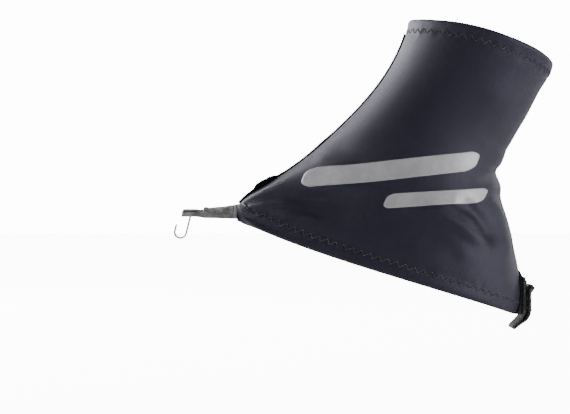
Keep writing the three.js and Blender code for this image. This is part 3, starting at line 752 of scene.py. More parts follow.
@group(
    "Cloth Age",
    [("Place", "Vector", None), ("Patches", "Float", 60.0), ("Fuzz", "Float", 2600.0)],
    [("Fade", "Float"), ("Fibres", "Float")],
)
def cloth_age(n, given):
    """Fade is broad unevenness of the dye, Fibres the fine fuzz on the surface."""
    broad = n.noise(given["Place"], given["Patches"], 4.0, 0.6)
    fine = n.noise(given["Place"], given["Fuzz"], 3.0, 0.7)
    return {"Fade": n.ramp(broad, 0.35, 0.7), "Fibres": fine}


def material(name):
    made = bpy.data.materials.new(name)
    made.use_nodes = True
    tree = made.node_tree
    tree.nodes.clear()
    n = Nodes(tree)
    shader = tree.nodes.new("ShaderNodeBsdfPrincipled")
    out = tree.nodes.new("ShaderNodeOutputMaterial")
    tree.links.new(shader.outputs[0], out.inputs[0])
    return made, n, shader


def use(n, name, **inputs):
    node = n.tree.nodes.new("ShaderNodeGroup")
    node.node_tree = GROUPS[name]
    for key, value in inputs.items():
        n.set(node, key, value)
    return node.outputs


def set_plain(shader, **values):
    for key, value in values.items():
        shader.inputs[key.replace("_", " ")].default_value = value


def roughen(n, shader, base, mask, by):
    """Roughness that varies with a mask."""
    n.set(shader, "Roughness", n.plus(base, n.times(mask, by)))


def bump(n, shader, height, distance, strength=1.0):
    node = n.new("Bump", Height=height, Distance=distance, Strength=strength)
    n.tree.links.new(node.outputs[0], shader.inputs["Normal"])


def stretch_fabric():
    made, n, shader = material("stretch_fabric")
    cloth, place = n.cloth_place(), n.row_place()
    knit = use(n, "Knit Courses", Place=cloth, Courses_per_metre=2500.0, Wales_per_metre=2100.0)
    ribs = use(n, "Knit Courses", Place=cloth, Courses_per_metre=820.0, Wales_per_metre=300.0)
    age = use(n, "Cloth Age", Place=place, Patches=42.0, Fuzz=2400.0)
    deep, worn = (0.0066, 0.0063, 0.0150, 1), (0.0108, 0.0104, 0.0225, 1)
    colour = n.mix(n.times(age["Fade"], 0.55), deep, worn)
    colour = n.mix(n.times(knit["Loops"], 0.5), colour, (0.0185, 0.018, 0.033, 1))
    n.set(shader, "Base_Color", colour)
    rough = n.plus(0.40, n.times(age["Fibres"], 0.12))
    roughen(n, shader, rough, ribs["Height"], 0.08)
    set_plain(shader, Specular_IOR_Level=0.42, Sheen_Weight=0.09, Sheen_Roughness=0.3)
    shader.inputs["Sheen Tint"].default_value = (0.78, 0.78, 1.0, 1)
    shader.inputs["Specular Tint"].default_value = (0.82, 0.81, 1.0, 1)
    relief = n.plus(n.times(knit["Height"], 0.8), n.times(age["Fibres"], 0.5))
    bump(n, shader, n.plus(relief, n.times(ribs["Height"], 0.25)), 0.00012, 0.8)
    return made


def woven(name, dark, light, yarns, rough, relief=0.00015, stretch=1.0, sheen=0.1, gloss=0.4):
    """A woven tape or webbing in two close shades."""
    made, n, shader = material(name)
    weave = use(n, "Plain Weave", Place=n.cloth_place(), Yarns_per_metre=yarns, Stretch=stretch)
    age = use(n, "Cloth Age", Place=n.row_place(), Patches=120.0, Fuzz=3000.0)
    shade = n.plus(n.times(weave["Height"], 0.6), n.times(age["Fade"], 0.4))
    n.set(shader, "Base_Color", n.mix(shade, dark, light))
    roughen(n, shader, rough, age["Fibres"], 0.2)
    set_plain(shader, Specular_IOR_Level=gloss, Sheen_Weight=sheen, Sheen_Roughness=0.5)
    height = n.plus(weave["Height"], n.times(age["Fibres"], 0.4))
    bump(n, shader, height, relief, 0.9)
    return made


def reflective_film():
    made, n, shader = material("reflective_film")
    cloth, place = n.cloth_place(), n.row_place()
    beads = n.new("TexVoronoi", Vector=cloth, Scale=1900.0).outputs[0]
    age = use(n, "Cloth Age", Place=place, Patches=90.0, Fuzz=1500.0)
    colour = n.mix(age["Fade"], (0.40, 0.39, 0.41, 1), (0.50, 0.49, 0.52, 1))
    n.set(shader, "Base_Color", n.mix(n.times(beads, 0.35), colour, (0.22, 0.22, 0.24, 1)))
    n.set(shader, "Metallic", n.times(age["Fibres"], 0.35))
    roughen(n, shader, 0.42, age["Fade"], 0.1)
    knit = use(n, "Knit Courses", Place=cloth, Courses_per_metre=1150.0, Wales_per_metre=1000.0)
    bump(n, shader, n.minus(n.times(knit["Height"], 0.5), beads), 0.00008, 0.7)
    return made


def sewing_thread(name, dark, light):
    made, n, shader = material(name)
    place = n.row_place()
    twist = n.new("TexWave", Vector=place, Scale=900.0, Distortion=2.0).outputs[1]
    age = use(n, "Cloth Age", Place=place, Patches=400.0, Fuzz=4000.0)
    shade = n.plus(n.times(twist, 0.6), n.times(age["Fade"], 0.4))
    n.set(shader, "Base_Color", n.mix(shade, dark, light))
    roughen(n, shader, 0.35, age["Fibres"], 0.25)
    set_plain(shader, Sheen_Weight=0.2, Sheen_Roughness=0.3)
    bump(n, shader, twist, 0.00008, 0.6)
    return made


def coated_fabric():
    made, n, shader = material("coated_fabric")
    place = n.row_place()
    weave = use(n, "Plain Weave", Place=n.cloth_place(), Yarns_per_metre=1250.0)
    age = use(n, "Cloth Age", Place=place, Patches=170.0, Fuzz=1500.0)
    colour = n.mix(age["Fade"], (0.14, 0.14, 0.141, 1), (0.37, 0.365, 0.372, 1))
    scuffs = n.ramp(n.noise(place, 420.0, 5.0, 0.75), 0.56, 0.74)
    n.set(shader, "Base_Color", n.mix(n.times(scuffs, 0.6), colour, (0.33, 0.33, 0.335, 1)))
    roughen(n, shader, 0.42, age["Fibres"], 0.3)
    set_plain(shader, Specular_IOR_Level=0.5, Sheen_Weight=0.05)
    height = n.plus(n.times(weave["Height"], 0.5), n.times(age["Fibres"], 0.9))
    bump(n, shader, height, 0.00022, 0.9)
    return made


def backing_fabric():
    """Dense black seam fabric with a fine rib."""
    made, n, shader = material("coated_black")
    rib = use(n, "Plain Weave", Place=n.cloth_place(), Yarns_per_metre=1500.0, Stretch=0.4)
    age = use(n, "Cloth Age", Place=n.row_place(), Patches=200.0, Fuzz=2500.0)
    n.set(shader, "Base_Color", n.mix(age["Fade"], (0.006, 0.006, 0.007, 1), (0.02, 0.02, 0.022, 1)))
    roughen(n, shader, 0.4, age["Fibres"], 0.25)
    set_plain(shader, Specular_IOR_Level=0.5)
    bump(n, shader, n.plus(rib["Height"], age["Fibres"]), 0.0002, 0.9)
    return made


def pile(name, dark, light, scale, depth):
    """Touch-fastener pile: a dense mat of small loops or hooks."""
    made, n, shader = material(name)
    place = n.row_place()
    dots = n.new("TexVoronoi", Vector=place, Scale=scale).outputs[0]
    fuzz = n.noise(place, scale * 1.7, 4.0, 0.7)
    n.set(shader, "Base_Color", n.mix(n.times(dots, 1.2, clamp=True), light, dark))
    roughen(n, shader, 0.6, fuzz, 0.3)
    set_plain(shader, Sheen_Weight=0.3, Sheen_Roughness=0.6)
    bump(n, shader, n.minus(fuzz, dots), depth, 1.0)
    return made


def braided_elastic():
    made, n, shader = material("braided_elastic")
    weave = use(n, "Plain Weave", Place=n.row_place(), Yarns_per_metre=900.0)
    age = use(n, "Cloth Age", Place=n.row_place(), Patches=200.0, Fuzz=3000.0)
    n.set(shader, "Base_Color", n.mix(weave["Height"], (0.01, 0.01, 0.01, 1), (0.05, 0.05, 0.052, 1)))
    roughen(n, shader, 0.55, age["Fibres"], 0.3)
    bump(n, shader, weave["Height"], 0.0002, 1.0)
    return made


def steel_wire():
    made, n, shader = material("steel_wire")
    place = n.row_place()
    streaks = n.noise(place, 900.0, 4.0, 0.6)
    worn = n.ramp(n.noise(place, 260.0, 3.0, 0.6), 0.45, 0.7)
    n.set(shader, "Base_Color", n.mix(worn, (0.62, 0.62, 0.64, 1), (0.40, 0.40, 0.42, 1)))
    roughen(n, shader, 0.16, streaks, 0.22)
    set_plain(shader, Metallic=1.0)
    bump(n, shader, streaks, 0.00002, 0.5)
    return made


FINISH = {
    "stretch_fabric": stretch_fabric(),
    # near-black, matte tape; on the front seam this black is also painted shade for the far panel's fabric puffing
    # over the seam in shadow
    "seam_tape": woven(
        "seam_tape", (0.003, 0.003, 0.004, 1), (0.010, 0.010, 0.012, 1), 1700.0, 0.75, sheen=0.0, gloss=0.04
    ),
    "webbing": woven(
        "webbing", (0.006, 0.006, 0.006, 1), (0.045, 0.045, 0.047, 1), 1150.0, 0.55, 0.0003, 0.6, 0.2
    ),
    "reflective_film": reflective_film(),
    "thread": sewing_thread("thread", (0.006, 0.006, 0.009, 1), (0.13, 0.13, 0.15, 1)),
    "coated_fabric": coated_fabric(),
    "backing": backing_fabric(),
    "loop_pile": pile("loop_pile", (0.002, 0.002, 0.002, 1), (0.03, 0.03, 0.031, 1), 1500.0, 0.0006),
    "hook_pile": pile("hook_pile", (0.004, 0.004, 0.004, 1), (0.07, 0.07, 0.072, 1), 900.0, 0.0008),
    "elastic": braided_elastic(),
    "wire": steel_wire(),
}


def dress(piece, slot, finish=None):
    """Gives the piece the finish of the slot's name, or the one named by finish."""
    piece.data.materials.clear()
    piece.data.materials.append(FINISH[finish or slot])
    return piece


def settle(piece, slot, body, *nodes, finish=None):
    """Gives a piece its finish and its body, and hides the CAD nodes that it stands for."""
    dress(piece, slot, finish)
    if nodes:
        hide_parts(*nodes)
    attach(piece, body)
    return piece


# ---------------------------------------------------------------- sleeve pieces

panels = [side_panel("side_panel_" + side_name, side) for side_name, side in SIDES.items()]


def zigzag_stitches(name, line):
    """Three-step zigzag round the sleeve: each leg of the zigzag is a few short stitches."""
    turns = np.linspace(-math.pi, math.pi, 1500)
    girth = lengths_along(skin(turns, line(turns)), 0)
    count = 2 * round(girth[-1] / ZIGZAG_STEP / 2)
    corners = np.interp(np.arange(count + 1) / count * girth[-1], girth, turns)
    ends = []
    for n in range(count):
        sign = 0.5 if n % 2 else -0.5
        for k in range(STITCHES_PER_LEG):
            for t in ((k + 0.1) / STITCHES_PER_LEG, (k + 0.9) / STITCHES_PER_LEG):
                turn = corners[n] + (corners[n + 1] - corners[n]) * t
                ends.append((turn, line(turn) + sign * ZIGZAG_WIDTH * (2 * t - 1)))
    ends = np.array(ends).reshape(-1, 2, 2)
    behind_cut = to_row(skin(ends[..., 0], ends[..., 1]))[..., 0] > sleeve.toe_cut + 1
    ends = ends[behind_cut.all(axis=1)]
    places = to_row(skin(ends[..., 0], ends[..., 1], 0.12))
    normals = to_row(sleeve.normal(ends[:, 0, 0], ends[:, 0, 1]))
    mesh = joined([stitch(a, b, up) for (a, b), up in zip(places, normals)])
    return settle(make_mesh(name, *mesh), "thread", "sleeve", name)


zigzag_stitches("cuff_stitching", lambda turn: sleeve.top(turn) - CUFF_HEM + ZIGZAG_WIDTH / 2 - 0.6)
zigzag_stitches("hem_stitching", lambda turn: sleeve.bottom(turn) + SHOE_HEM - ZIGZAG_WIDTH / 2 + 0.6)


def corners_of(points):
    """The four corners of a slanted bar in side view, in order round it."""
    flat = points[:, [0, 2]]
    middle = flat.mean(0)
    axes = np.linalg.svd(flat - middle, full_matrices=False)[2]
    along, across = axes
    found = []
    for a, b in ((-0.15, -1), (0.15, -1), (0.15, 1), (-0.15, 1)):
        reach = (flat - middle) @ (a * along + b * across)
        found.append(flat[reach.argmax()])
    return np.array(found)


def film_bar(name, side):
    """Reflective film that lies on the draped fabric, with rounded ends."""
    corners = corners_of(to_leaned(node_points(name)))
    s = np.linspace(0, 1, 110)[None, :]
    t = np.linspace(0, 1, 17)[:, None]
    ends = 0.06 * (2 * t - 1) ** 4
    s = ends + (1 - 2 * ends) * s
    low = corners[0] + (corners[1] - corners[0]) * s[..., None]
    high = corners[3] + (corners[2] - corners[3]) * s[..., None]
    flat = low + (high - low) * t[..., None]
    x, height = flat[..., 0], flat[..., 1]
    turn = sleeve.turn_at(height, x) * side
    outer, inner = to_row(skin(turn, height, 0.13)), to_row(skin(turn, height, 0.02))
    ahead = np.cross(outer[0, 1] - outer[0, 0], outer[1, 0] - outer[0, 0])
    outward = to_row(sleeve.normal(turn[0, 0], height[0, 0]))
    piece = two_sided(name, outer, inner, flip=bool(ahead @ outward < 0))
    return settle(piece, "reflective_film", "sleeve", name)


for side_name, side in SIDES.items():
    for row in ("upper", "lower"):
        film_bar(f"reflective_bar_{row}_{side_name}", side)


def seam_turn(height, distance):
    """Turn at which the sleeve is a distance from the middle plane, near the front."""
    turn = np.full_like(height, 0.05)
    for _ in range(12):
        y = sleeve.face(turn, height)[..., 1]
        turn = np.clip(turn * distance / np.maximum(y, 1e-3), 1e-4, 1.2)
    return turn


def front_tape():
    """Rolled black tape down the front seam. It stands off the instep just above the toe tab, like a cord. Its
    black colour and that bulge are partly real seam binding and partly painted shade, standing for the far panel's
    fabric that puffs over the seam in shadow.
    """
    points = to_leaned(node_points("front_seam_tape"))
    height = np.linspace(TAPE_FOOT, points[:, 2].max(), 190)[:, None] * np.ones((1, 17))
    across = np.linspace(-1, 1, 17)[None, :]
    # the bulge above the toe tab: a black cord that partly stands for painted shade where the far panel's fabric
    # puffs over the seam
    slack = np.array([max(standoff(points, h), 0.0) for h in height[:, 0]])[:, None]
    slack = slack * smooth((height[:, :1] - TAPE_FOOT) / 6)
    half = 1.25 + 0.75 * smooth(slack / 1.2)
    turn = seam_turn(height[:, :1], half) * across
    crimp = 0.05 * np.sin(height * 2.1 + 0.8 * np.sin(height * 0.7))
    lift = -0.3 + (slack + 1.3) * np.sqrt(np.clip(1 - across**2, 0, 1)) + crimp
    outer, inner = tape_faces(turn, height, lift, -0.9)
    for grid in (outer, inner):
        grid[..., 0] = np.maximum(grid[..., 0], sleeve.toe_cut + 0.05)
    piece = two_sided("front_seam_tape", outer, inner, flip=True)
    return settle(piece, "seam_tape", "sleeve", "front_seam_tape")


def tape_faces(turn, height, over, under):
    """A tape's two faces in the row's axes, each off the sleeve's smooth form by its own distance."""
    form, normal = sleeve.face(turn, height), sleeve.normal(turn, height)
    return [to_row(form + normal * np.asarray(lift)[..., None]) for lift in (over, under)]


def standoff(points, height):
    """How far the frame's tape stands off the sleeve at a height, beyond its usual place."""
    ring = points[(abs(points[:, 2] - height) < 4) & (abs(points[:, 1]) < 0.4)]
    if not len(ring):
        return 0.0
    away = sleeve.front(ring[:, 2]) - ring[:, 0]
    weight = np.exp(-(((ring[:, 2] - height) / 2.5) ** 2))
    return float((away * weight).sum() / weight.sum()) - 1.0


def rear_tape():
    """Flat tape inside the rear seam. It sinks with the fabric where a fold is a hollow."""
    points = to_leaned(node_points("rear_seam_tape"))
    low, high = points[:, 2].min(), points[:, 2].max()
    height = np.linspace(low, high, 90)[:, None] * np.ones((1, 9))
    across = np.linspace(-1, 1, 9)[None, :]
    half = float(abs(points[:, 1]).max())
    slope = sleeve.face(math.pi - 0.05, height[:, :1])[..., 1] / 0.05
    turn = math.pi + half / slope * across
    sunk = np.minimum(folds(turn, height), 0.0)
    piece = two_sided("rear_seam_tape", *tape_faces(turn, height, sunk - 2.4, sunk - 1.75), flip=True)
    return settle(piece, "seam_tape", "sleeve", "rear_seam_tape")


front_tape()
rear_tape()


def rear_stitching():
    """The ladder of thread that joins the two panels edge to edge behind."""
    low, high = sleeve.bottom(math.pi) + 1.5, sleeve.top(math.pi) - 1.5
    parts = []
    for n, height in enumerate(np.arange(low, high, LADDER_STEP)):
        slope = float(sleeve.face(math.pi - 0.05, height)[1] / 0.05)
        places = []
        for side in (LEFT, RIGHT):
            turn = math.pi + side * LADDER_REACH / slope
            h = height + (0.55 if side * (-1) ** n > 0 else 0.0)
            lift = drape(turn, h) * 0.4 + 0.1
            places.append(to_row(sleeve.face(turn, h) + sleeve.normal(turn, h) * lift))
        parts.append(stitch(*places, to_row(sleeve.normal(math.pi, height)), FINE_THREAD))
    return settle(make_mesh("rear_seam_stitching", *joined(parts)), "thread", "sleeve")


rear_stitching()

# ---------------------------------------------------------------- toe tab


def blend_tab(piece, slot, node):
    """Gives a tab piece its finish, hides its CAD node and bakes its transform into the mesh."""
    dress(piece, slot)
    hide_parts(node)
    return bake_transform(piece)

class Tab:
    """The toe tab's outer face, from the toe seam to its front arch, measured on the frame's tab."""

    def __init__(self):
        self.rear = sleeve.toe_cut - 0.05
        self.front = float(node_box("toe_tab_upper")[0][0])
        points = node_points("toe_tab_upper")
        ahead = points[points[:, 0] < self.front + 0.5]
        self.front_half = abs(ahead[:, 1]).max()
        self.front_low, self.front_high = ahead[:, 2].min(), ahead[:, 2].max()
        self.edge_turn = self.find_edge()
        self.rear_section = self.measure_seam()

    def find_edge(self):
        turns = np.linspace(0.02, 1.0, 200)
        heights = sleeve.bottom(turns) + 0.6
        x = to_row(sleeve.face(turns, heights))[:, 0]
        return float(np.interp(sleeve.toe_cut, x, turns))

    def measure_seam(self):
        """Points of the toe seam across from -1 to 1."""
        across = np.linspace(-1, 1, 81)
        turns = across * self.edge_turn
        low, high = np.full(81, -12.0), np.full(81, 30.0)
        for _ in range(40):
            middle = (low + high) / 2
            ahead = to_row(sleeve.face(turns, middle))[:, 0] < sleeve.toe_cut
            low, high = np.where(ahead, middle, low), np.where(ahead, high, middle)
        section = to_row(sleeve.face(turns, low))
        return across, section[:, 1], section[:, 2]

    def face(self, reach, across):
        across = np.clip(across, -1, 1)
        forward = (self.rear - reach) / (self.rear - self.front)
        y_rear = np.interp(across, self.rear_section[0], self.rear_section[1])
        z_rear = np.interp(across, self.rear_section[0], self.rear_section[2])
        y_front = across * self.front_half
        z_front = self.front_low + (self.front_high - self.front_low) * (1 - abs(across) ** 5)
        ease = forward + 0.10 * np.sin(math.pi * forward)
        y = y_rear + (y_front - y_rear) * ease
        z = z_rear + (z_front - z_rear) * ease
        return np.stack([np.broadcast_to(reach, y.shape), y, z], -1)

    def skin(self, reach, across, lift=0.0):
        reach, across = np.broadcast_arrays(np.asarray(reach, float), np.asarray(across, float))
        inside = np.clip(across, -0.985, 0.985)
        sideways = self.face(reach, inside + 0.01) - self.face(reach, inside - 0.01)
        ahead = self.face(reach - 0.1, inside) - self.face(reach + 0.1, inside)
        normal = unit(np.cross(ahead, sideways))
        normal = normal * np.sign(normal[..., 2:3] + 1e-9)
        wrinkle = 0.16 * np.sin(reach * 0.9 + across * 4.0) * np.sin(across * 7.0 + 0.6)
        crown = np.where(abs(across) > 0.9, 0.0, wrinkle)
        return self.face(reach, across) + normal * (np.asarray(lift) + crown)[..., None]


tab = Tab()


def tab_upper():
    """The stiff arch, with a turned and stitched border along its side edges and its front."""
    reach = np.linspace(tab.rear, tab.front, 60)[:, None]
    across = np.sin(np.linspace(-1, 1, 65) * math.pi / 2)[None, :]
    border = smooth((abs(across) - 0.80) / 0.04) + smooth((tab.front + 2.6 - reach) / 0.4)
    border = np.clip(border, 0, 1) * 0.38
    seam = 0.35 * np.exp(-(((reach - tab.rear + 0.9) / 0.7) ** 2))
    outer = tab.skin(reach, across, border + seam)
    inner = tab.skin(reach, across, -TAB_CLOTH)
    return blend_tab(two_sided("toe_tab_upper", outer, inner), "coated_fabric", "toe_tab_upper")


def tab_lining():
    front = float(node_box("toe_tab_lining")[0][0])
    reach = np.linspace(tab.rear, front, 24)[:, None]
    across = np.linspace(-0.86, 0.86, 33)[None, :]
    outer, inner = tab.skin(reach, across, -1.05), tab.skin(reach, across, -1.6)
    return blend_tab(two_sided("toe_tab_lining", outer, inner), "coated_fabric", "toe_tab_lining")


def tab_stitches():
    """Two rows across the seam and one row along each side edge and the front."""
    runs = []
    wide = np.linspace(-0.93, 0.93, 400)
    for inset in (0.95, 2.3):
        runs.append(tab.skin(tab.rear - inset, wide, 0.12))
    for edge in (-0.86, 0.86):
        runs.append(tab.skin(np.linspace(tab.rear - 3.6, tab.front + 1.6, 400), edge, 0.42))
    runs.append(tab.skin(tab.front + 1.5, np.linspace(-0.8, 0.8, 400), 0.42))
    parts = []
    for run in runs:
        for start, end, _ in stitch_places(run, TAB_STITCH_PITCH):
            up = unit(np.array([0.0, start[1] * 0.12, 1.0]))
            parts.append(stitch(start, end, up, TAB_THREAD))
    return blend_tab(make_mesh("toe_tab_stitching", *joined(parts)), "thread", "toe_tab_stitching")


def nose_face():
    """The nose's outer face as a grid of points, with each column's place across it from -1 to 1."""
    low, high = node_box("toe_tab_webbing")
    start, tip = tab.front + 1.2, low[0] - TAB_CLOTH
    half, base, top = (high[1] - low[1]) / 2 + TAB_CLOTH, low[2] - 0.1, high[2] + 0.95
    last_rows = 0.94 + 0.06 * np.sin(np.linspace(0, 1, 12)[1:] * math.pi / 2)
    t = np.concatenate([np.linspace(0, 0.94, 60), last_rows])
    reach = (start + (tip - start) * t)[:, None]
    wide = np.linspace(-1, 1, 49)[None, :]
    across = np.sign(wide) * (1 - (1 - abs(wide)) ** 1.6)
    narrowed = smooth((start - reach) / 6.5)
    end = np.clip((reach - tip) / 1.3, 0, 1)
    round_off = np.sqrt(np.clip(1 - (1 - end) ** 2, 0, 1))
    first_half = tab.front_half - 0.9
    y = across * (first_half + (half - first_half) * narrowed) * (0.86 + 0.14 * round_off)
    first_rise = tab.front_high - 0.9 - tab.front_low
    rise = first_rise + (top - base - first_rise) * narrowed
    foot = tab.front_low + (base - tab.front_low) * narrowed
    dent = 0.22 * np.exp(-(((reach - TACK_PLACE - 0.3) / 1.1) ** 2)) * (1 - abs(across) ** 2)
    crease = 0.07 * np.sin(reach * 2.3 + 3 * across) * np.sin(across * 6 + 1)
    z = foot + (rise - dent + crease) * (1 - abs(across) ** 6) * (0.35 + 0.65 * round_off)
    return np.stack(np.broadcast_arrays(reach, y, z), -1), across


def tab_nose():
    """The tab's narrow end: the same fabric, folded down over the webbing's top, sides and tip."""
    outer, across = nose_face()
    normal = unit(np.cross(np.gradient(outer, axis=0), np.gradient(outer, axis=1)))
    normal *= np.sign(normal[..., 2:3] + 1e-9)
    sideways = np.sign(across)[..., None] * np.array([0.0, 1.0, 0.0])
    normal = np.where((abs(across) > 0.9)[..., None], unit(normal * 0.3 + sideways), normal)
    inner = outer - normal * 0.6
    inner[-1] = inner[-2] + (outer[-1] - outer[-2]) * 0.2
    return settle(two_sided("toe_tab_nose", outer, inner), "coated_fabric", "toe_tab")


tab_upper()
tab_lining()
tab_stitches()
tab_nose()


def folded_line(low, high):
    """Side view of the folded webbing, round the tip, with the direction into the fold at each point."""
    middle, radius = (low[2] + high[2]) / 2, (high[2] - low[2]) / 2
    tip = low[0] + radius
    line = [(x, middle - radius) for x in np.linspace(high[0], tip, STRAIGHT_ROWS)]
    for a in np.linspace(0, math.pi, 14)[1:-1]:
        line.append((tip - radius * math.sin(a), middle - radius * math.cos(a)))
    line += [(x, middle + radius) for x in np.linspace(tip, high[0], STRAIGHT_ROWS)]
    line = np.array(line)
    tangent = unit(np.gradient(line, axis=0))
    inward = np.stack([-tangent[:, 1], tangent[:, 0]], -1)
    if inward[0, 1] < 0:
        inward = -inward
    pinch = 0.42 * np.exp(-(((line[:, :1] - TACK_PLACE) / 1.2) ** 2))
    return line + inward * pinch, inward


def slot_cells(line, width):
    """Which cells of the webbing's grid are left open, in its lower layer, for the hook's legs."""
    x = (line[1:, 0] + line[:-1, 0]) / 2
    y = (width[1:] + width[:-1]) / 2
    lower = np.arange(len(x)) < STRAIGHT_ROWS - 1
    beside_bar = (x > HOOK_AXIS[0] - 2.4) & (x < HOOK_AXIS[0] + 1.7)
    return (beside_bar & lower)[:, None] & (abs(y) < 2.5)


def slotted_faces(is_open, count):
    """Faces of a two-sided grid of points, and of the rims round it and round its open cells."""
    rows, columns = is_open.shape
    faces = []
    for r, c in np.argwhere(~is_open).tolist():
        a = r * (columns + 1) + c
        quad = (a, a + 1, a + columns + 2, a + columns + 1)
        faces += [quad, tuple(v + count for v in quad[::-1])]
        for dr, dc, i, j in ((-1, 0, 1, 0), (1, 0, 3, 2), (0, -1, 0, 3), (0, 1, 2, 1)):
            inside = 0 <= r + dr < rows and 0 <= c + dc < columns
            if not inside or is_open[r + dr, c + dc]:
                faces.append((quad[i], quad[j], quad[j] + count, quad[i] + count))
    return faces


def spread(line, width):
    """A side-view line drawn out sideways, as a grid of points."""
    grid = np.zeros((len(line), len(width), 3))
    grid[..., 0], grid[..., 1], grid[..., 2] = line[:, :1], width, line[:, 1:]
    return grid


def nose_webbing():
    """Webbing folded round the hook's bar and sewn flat behind it, with a slot below for the legs."""
    low, high = node_box("toe_tab_webbing")
    line, inward = folded_line(low, high)
    width = np.linspace(low[1], high[1], 27)
    outer, inner = spread(line, width), spread(line + inward * NOSE_WEBBING, width)
    selvedge = 0.12 * np.cos(np.clip((high[1] - abs(width)) / 0.9, 0, 1) * math.pi / 2)
    outer[..., 2] += np.sign((low[2] + high[2]) / 2 - line[:, 1:]) * selvedge
    faces = slotted_faces(slot_cells(line, width), len(line) * len(width))
    points = np.concatenate([outer.reshape(-1, 3), inner.reshape(-1, 3)])
    uv = np.stack([outer[..., 1], lengths_along(outer, 0)], -1).reshape(-1, 2)
    piece = make_mesh("toe_tab_webbing", points, faces, np.concatenate([uv, uv]))
    return settle(piece, "webbing", "toe_tab", "toe_tab_webbing")


def bar_tack():
    """A dense bar of stitches that locks the two layers of webbing behind the hook."""
    width, depth = 8.6, 1.5
    height = node_box("toe_tab_webbing")[1][2] - 0.28
    count = int(width / 0.42)
    parts = []
    for k in range(count):
        y = (k / (count - 1) - 0.5) * width
        skew = 0.18 if k % 2 else -0.18
        start = (TACK_PLACE - depth / 2, y - skew, height)
        end = (TACK_PLACE + depth / 2, y + skew, height)
        parts.append(stitch(start, end, (0, 0, 1), FINE_THREAD))
    return settle(make_mesh("toe_tab_bar_tack", *joined(parts)), "thread", "toe_tab")


nose_webbing()
bar_tack()


def hook_route():
    """The wire's line: along the bar, down one leg, round the bend and the tip, and back the same way."""
    points = node_points("lace_hook")
    centre = np.array(mount("lace_hook")["pos_m"]) / MM
    radius = centre[2] - points[:, 2].min() - WIRE
    away = centre - HOOK_AXIS
    reach = math.hypot(away[0], away[2])
    tilt = math.atan2(-away[0], -away[2]) - math.asin(radius / reach)
    down = np.array([-math.sin(tilt), 0, -math.cos(tilt)])
    ahead = np.array([-math.cos(tilt), 0, math.sin(tilt)])
    stem = math.sqrt(reach**2 - radius**2)
    line = [HOOK_AXIS + down * s for s in (0.9, *np.linspace(1.6, stem, 10))]
    for a in np.linspace(0, math.pi, 15)[1:]:
        line.append(centre - ahead * radius * math.cos(a) + down * radius * math.sin(a))
    line += [line[-1] - down * 1.2, line[-1] - down * 2.4]
    side = np.array([0.0, 1.0, 0.0])
    half = abs(points[:, 1]).max()
    leg = [HOOK_AXIS + side * (half - WIRE * 0.2), HOOK_AXIS + side * (LEG + 0.9)]
    leg += [p + side * LEG for p in line]
    tip = []
    for a in np.radians([50, 0, -50]):
        tip.append(line[-1] - down * LEG * (0.7 * math.cos(a)) + side * LEG * math.sin(a))
    return leg + tip + [p * (1, -1, 1) for p in leg[::-1]]


def lace_hook():
    """The doubled wire hook, as one smooth round wire."""
    route = hook_route()
    curve = bpy.data.curves.new("lace_hook", "CURVE")
    curve.dimensions = "3D"
    curve.bevel_depth = WIRE * MM
    curve.bevel_resolution = 5
    curve.use_fill_caps = True
    spline = curve.splines.new("NURBS")
    spline.points.add(len(route) - 1)
    for target, p in zip(spline.points, route):
        target.co = (*(p * MM), 1)
    spline.use_endpoint_u = True
    spline.order_u = 3
    spline.resolution_u = 6
    maker = bpy.data.objects.new("lace_hook_line", curve)
    bpy.context.scene.collection.objects.link(maker)
    bpy.context.view_layer.update()
    data = bpy.data.meshes.new_from_object(maker.evaluated_get(bpy.context.evaluated_depsgraph_get()))
    bpy.data.objects.remove(maker)
    return settle(smooth_object("lace_hook_wire", data), "wire", "lace_hook", "lace_hook")


lace_hook()

# ---------------------------------------------------------------- heel strap


def side_outline(name):
    """Side-view outline of an extruded CAD node, in order round it, from its faces on one side."""
    data = frame["nodes"][name].data
    points = node_points(name)
    half = points[:, 1].max()
    edges = {}
    for face in data.polygons:
        ring = list(face.vertices)
        if all(abs(points[v, 1] - half) < 1e-3 for v in ring):
            for a, b in zip(ring, ring[1:] + ring[:1]):
                key = (tuple(np.round(points[a, [0, 2]], 3)), tuple(np.round(points[b, [0, 2]], 3)))
                edges[key] = edges.get(key, 0) + 1
    edges = {k for k in edges if (k[1], k[0]) not in edges}
    after = dict(edges)
    start = min(after)
    outline, at = [start], after[start]
    while at != start:
        outline.append(at)
        at = after[at]
    return np.array(outline), half


def refine(outline, step):
    """The same closed outline with even short steps."""
    closed = np.concatenate([outline, outline[:1]])
    length = lengths_along(closed, 0)
    count = max(12, int(length[-1] / step))
    marks = np.linspace(0, length[-1], count, endpoint=False)
    return value_at(marks, length, closed).T


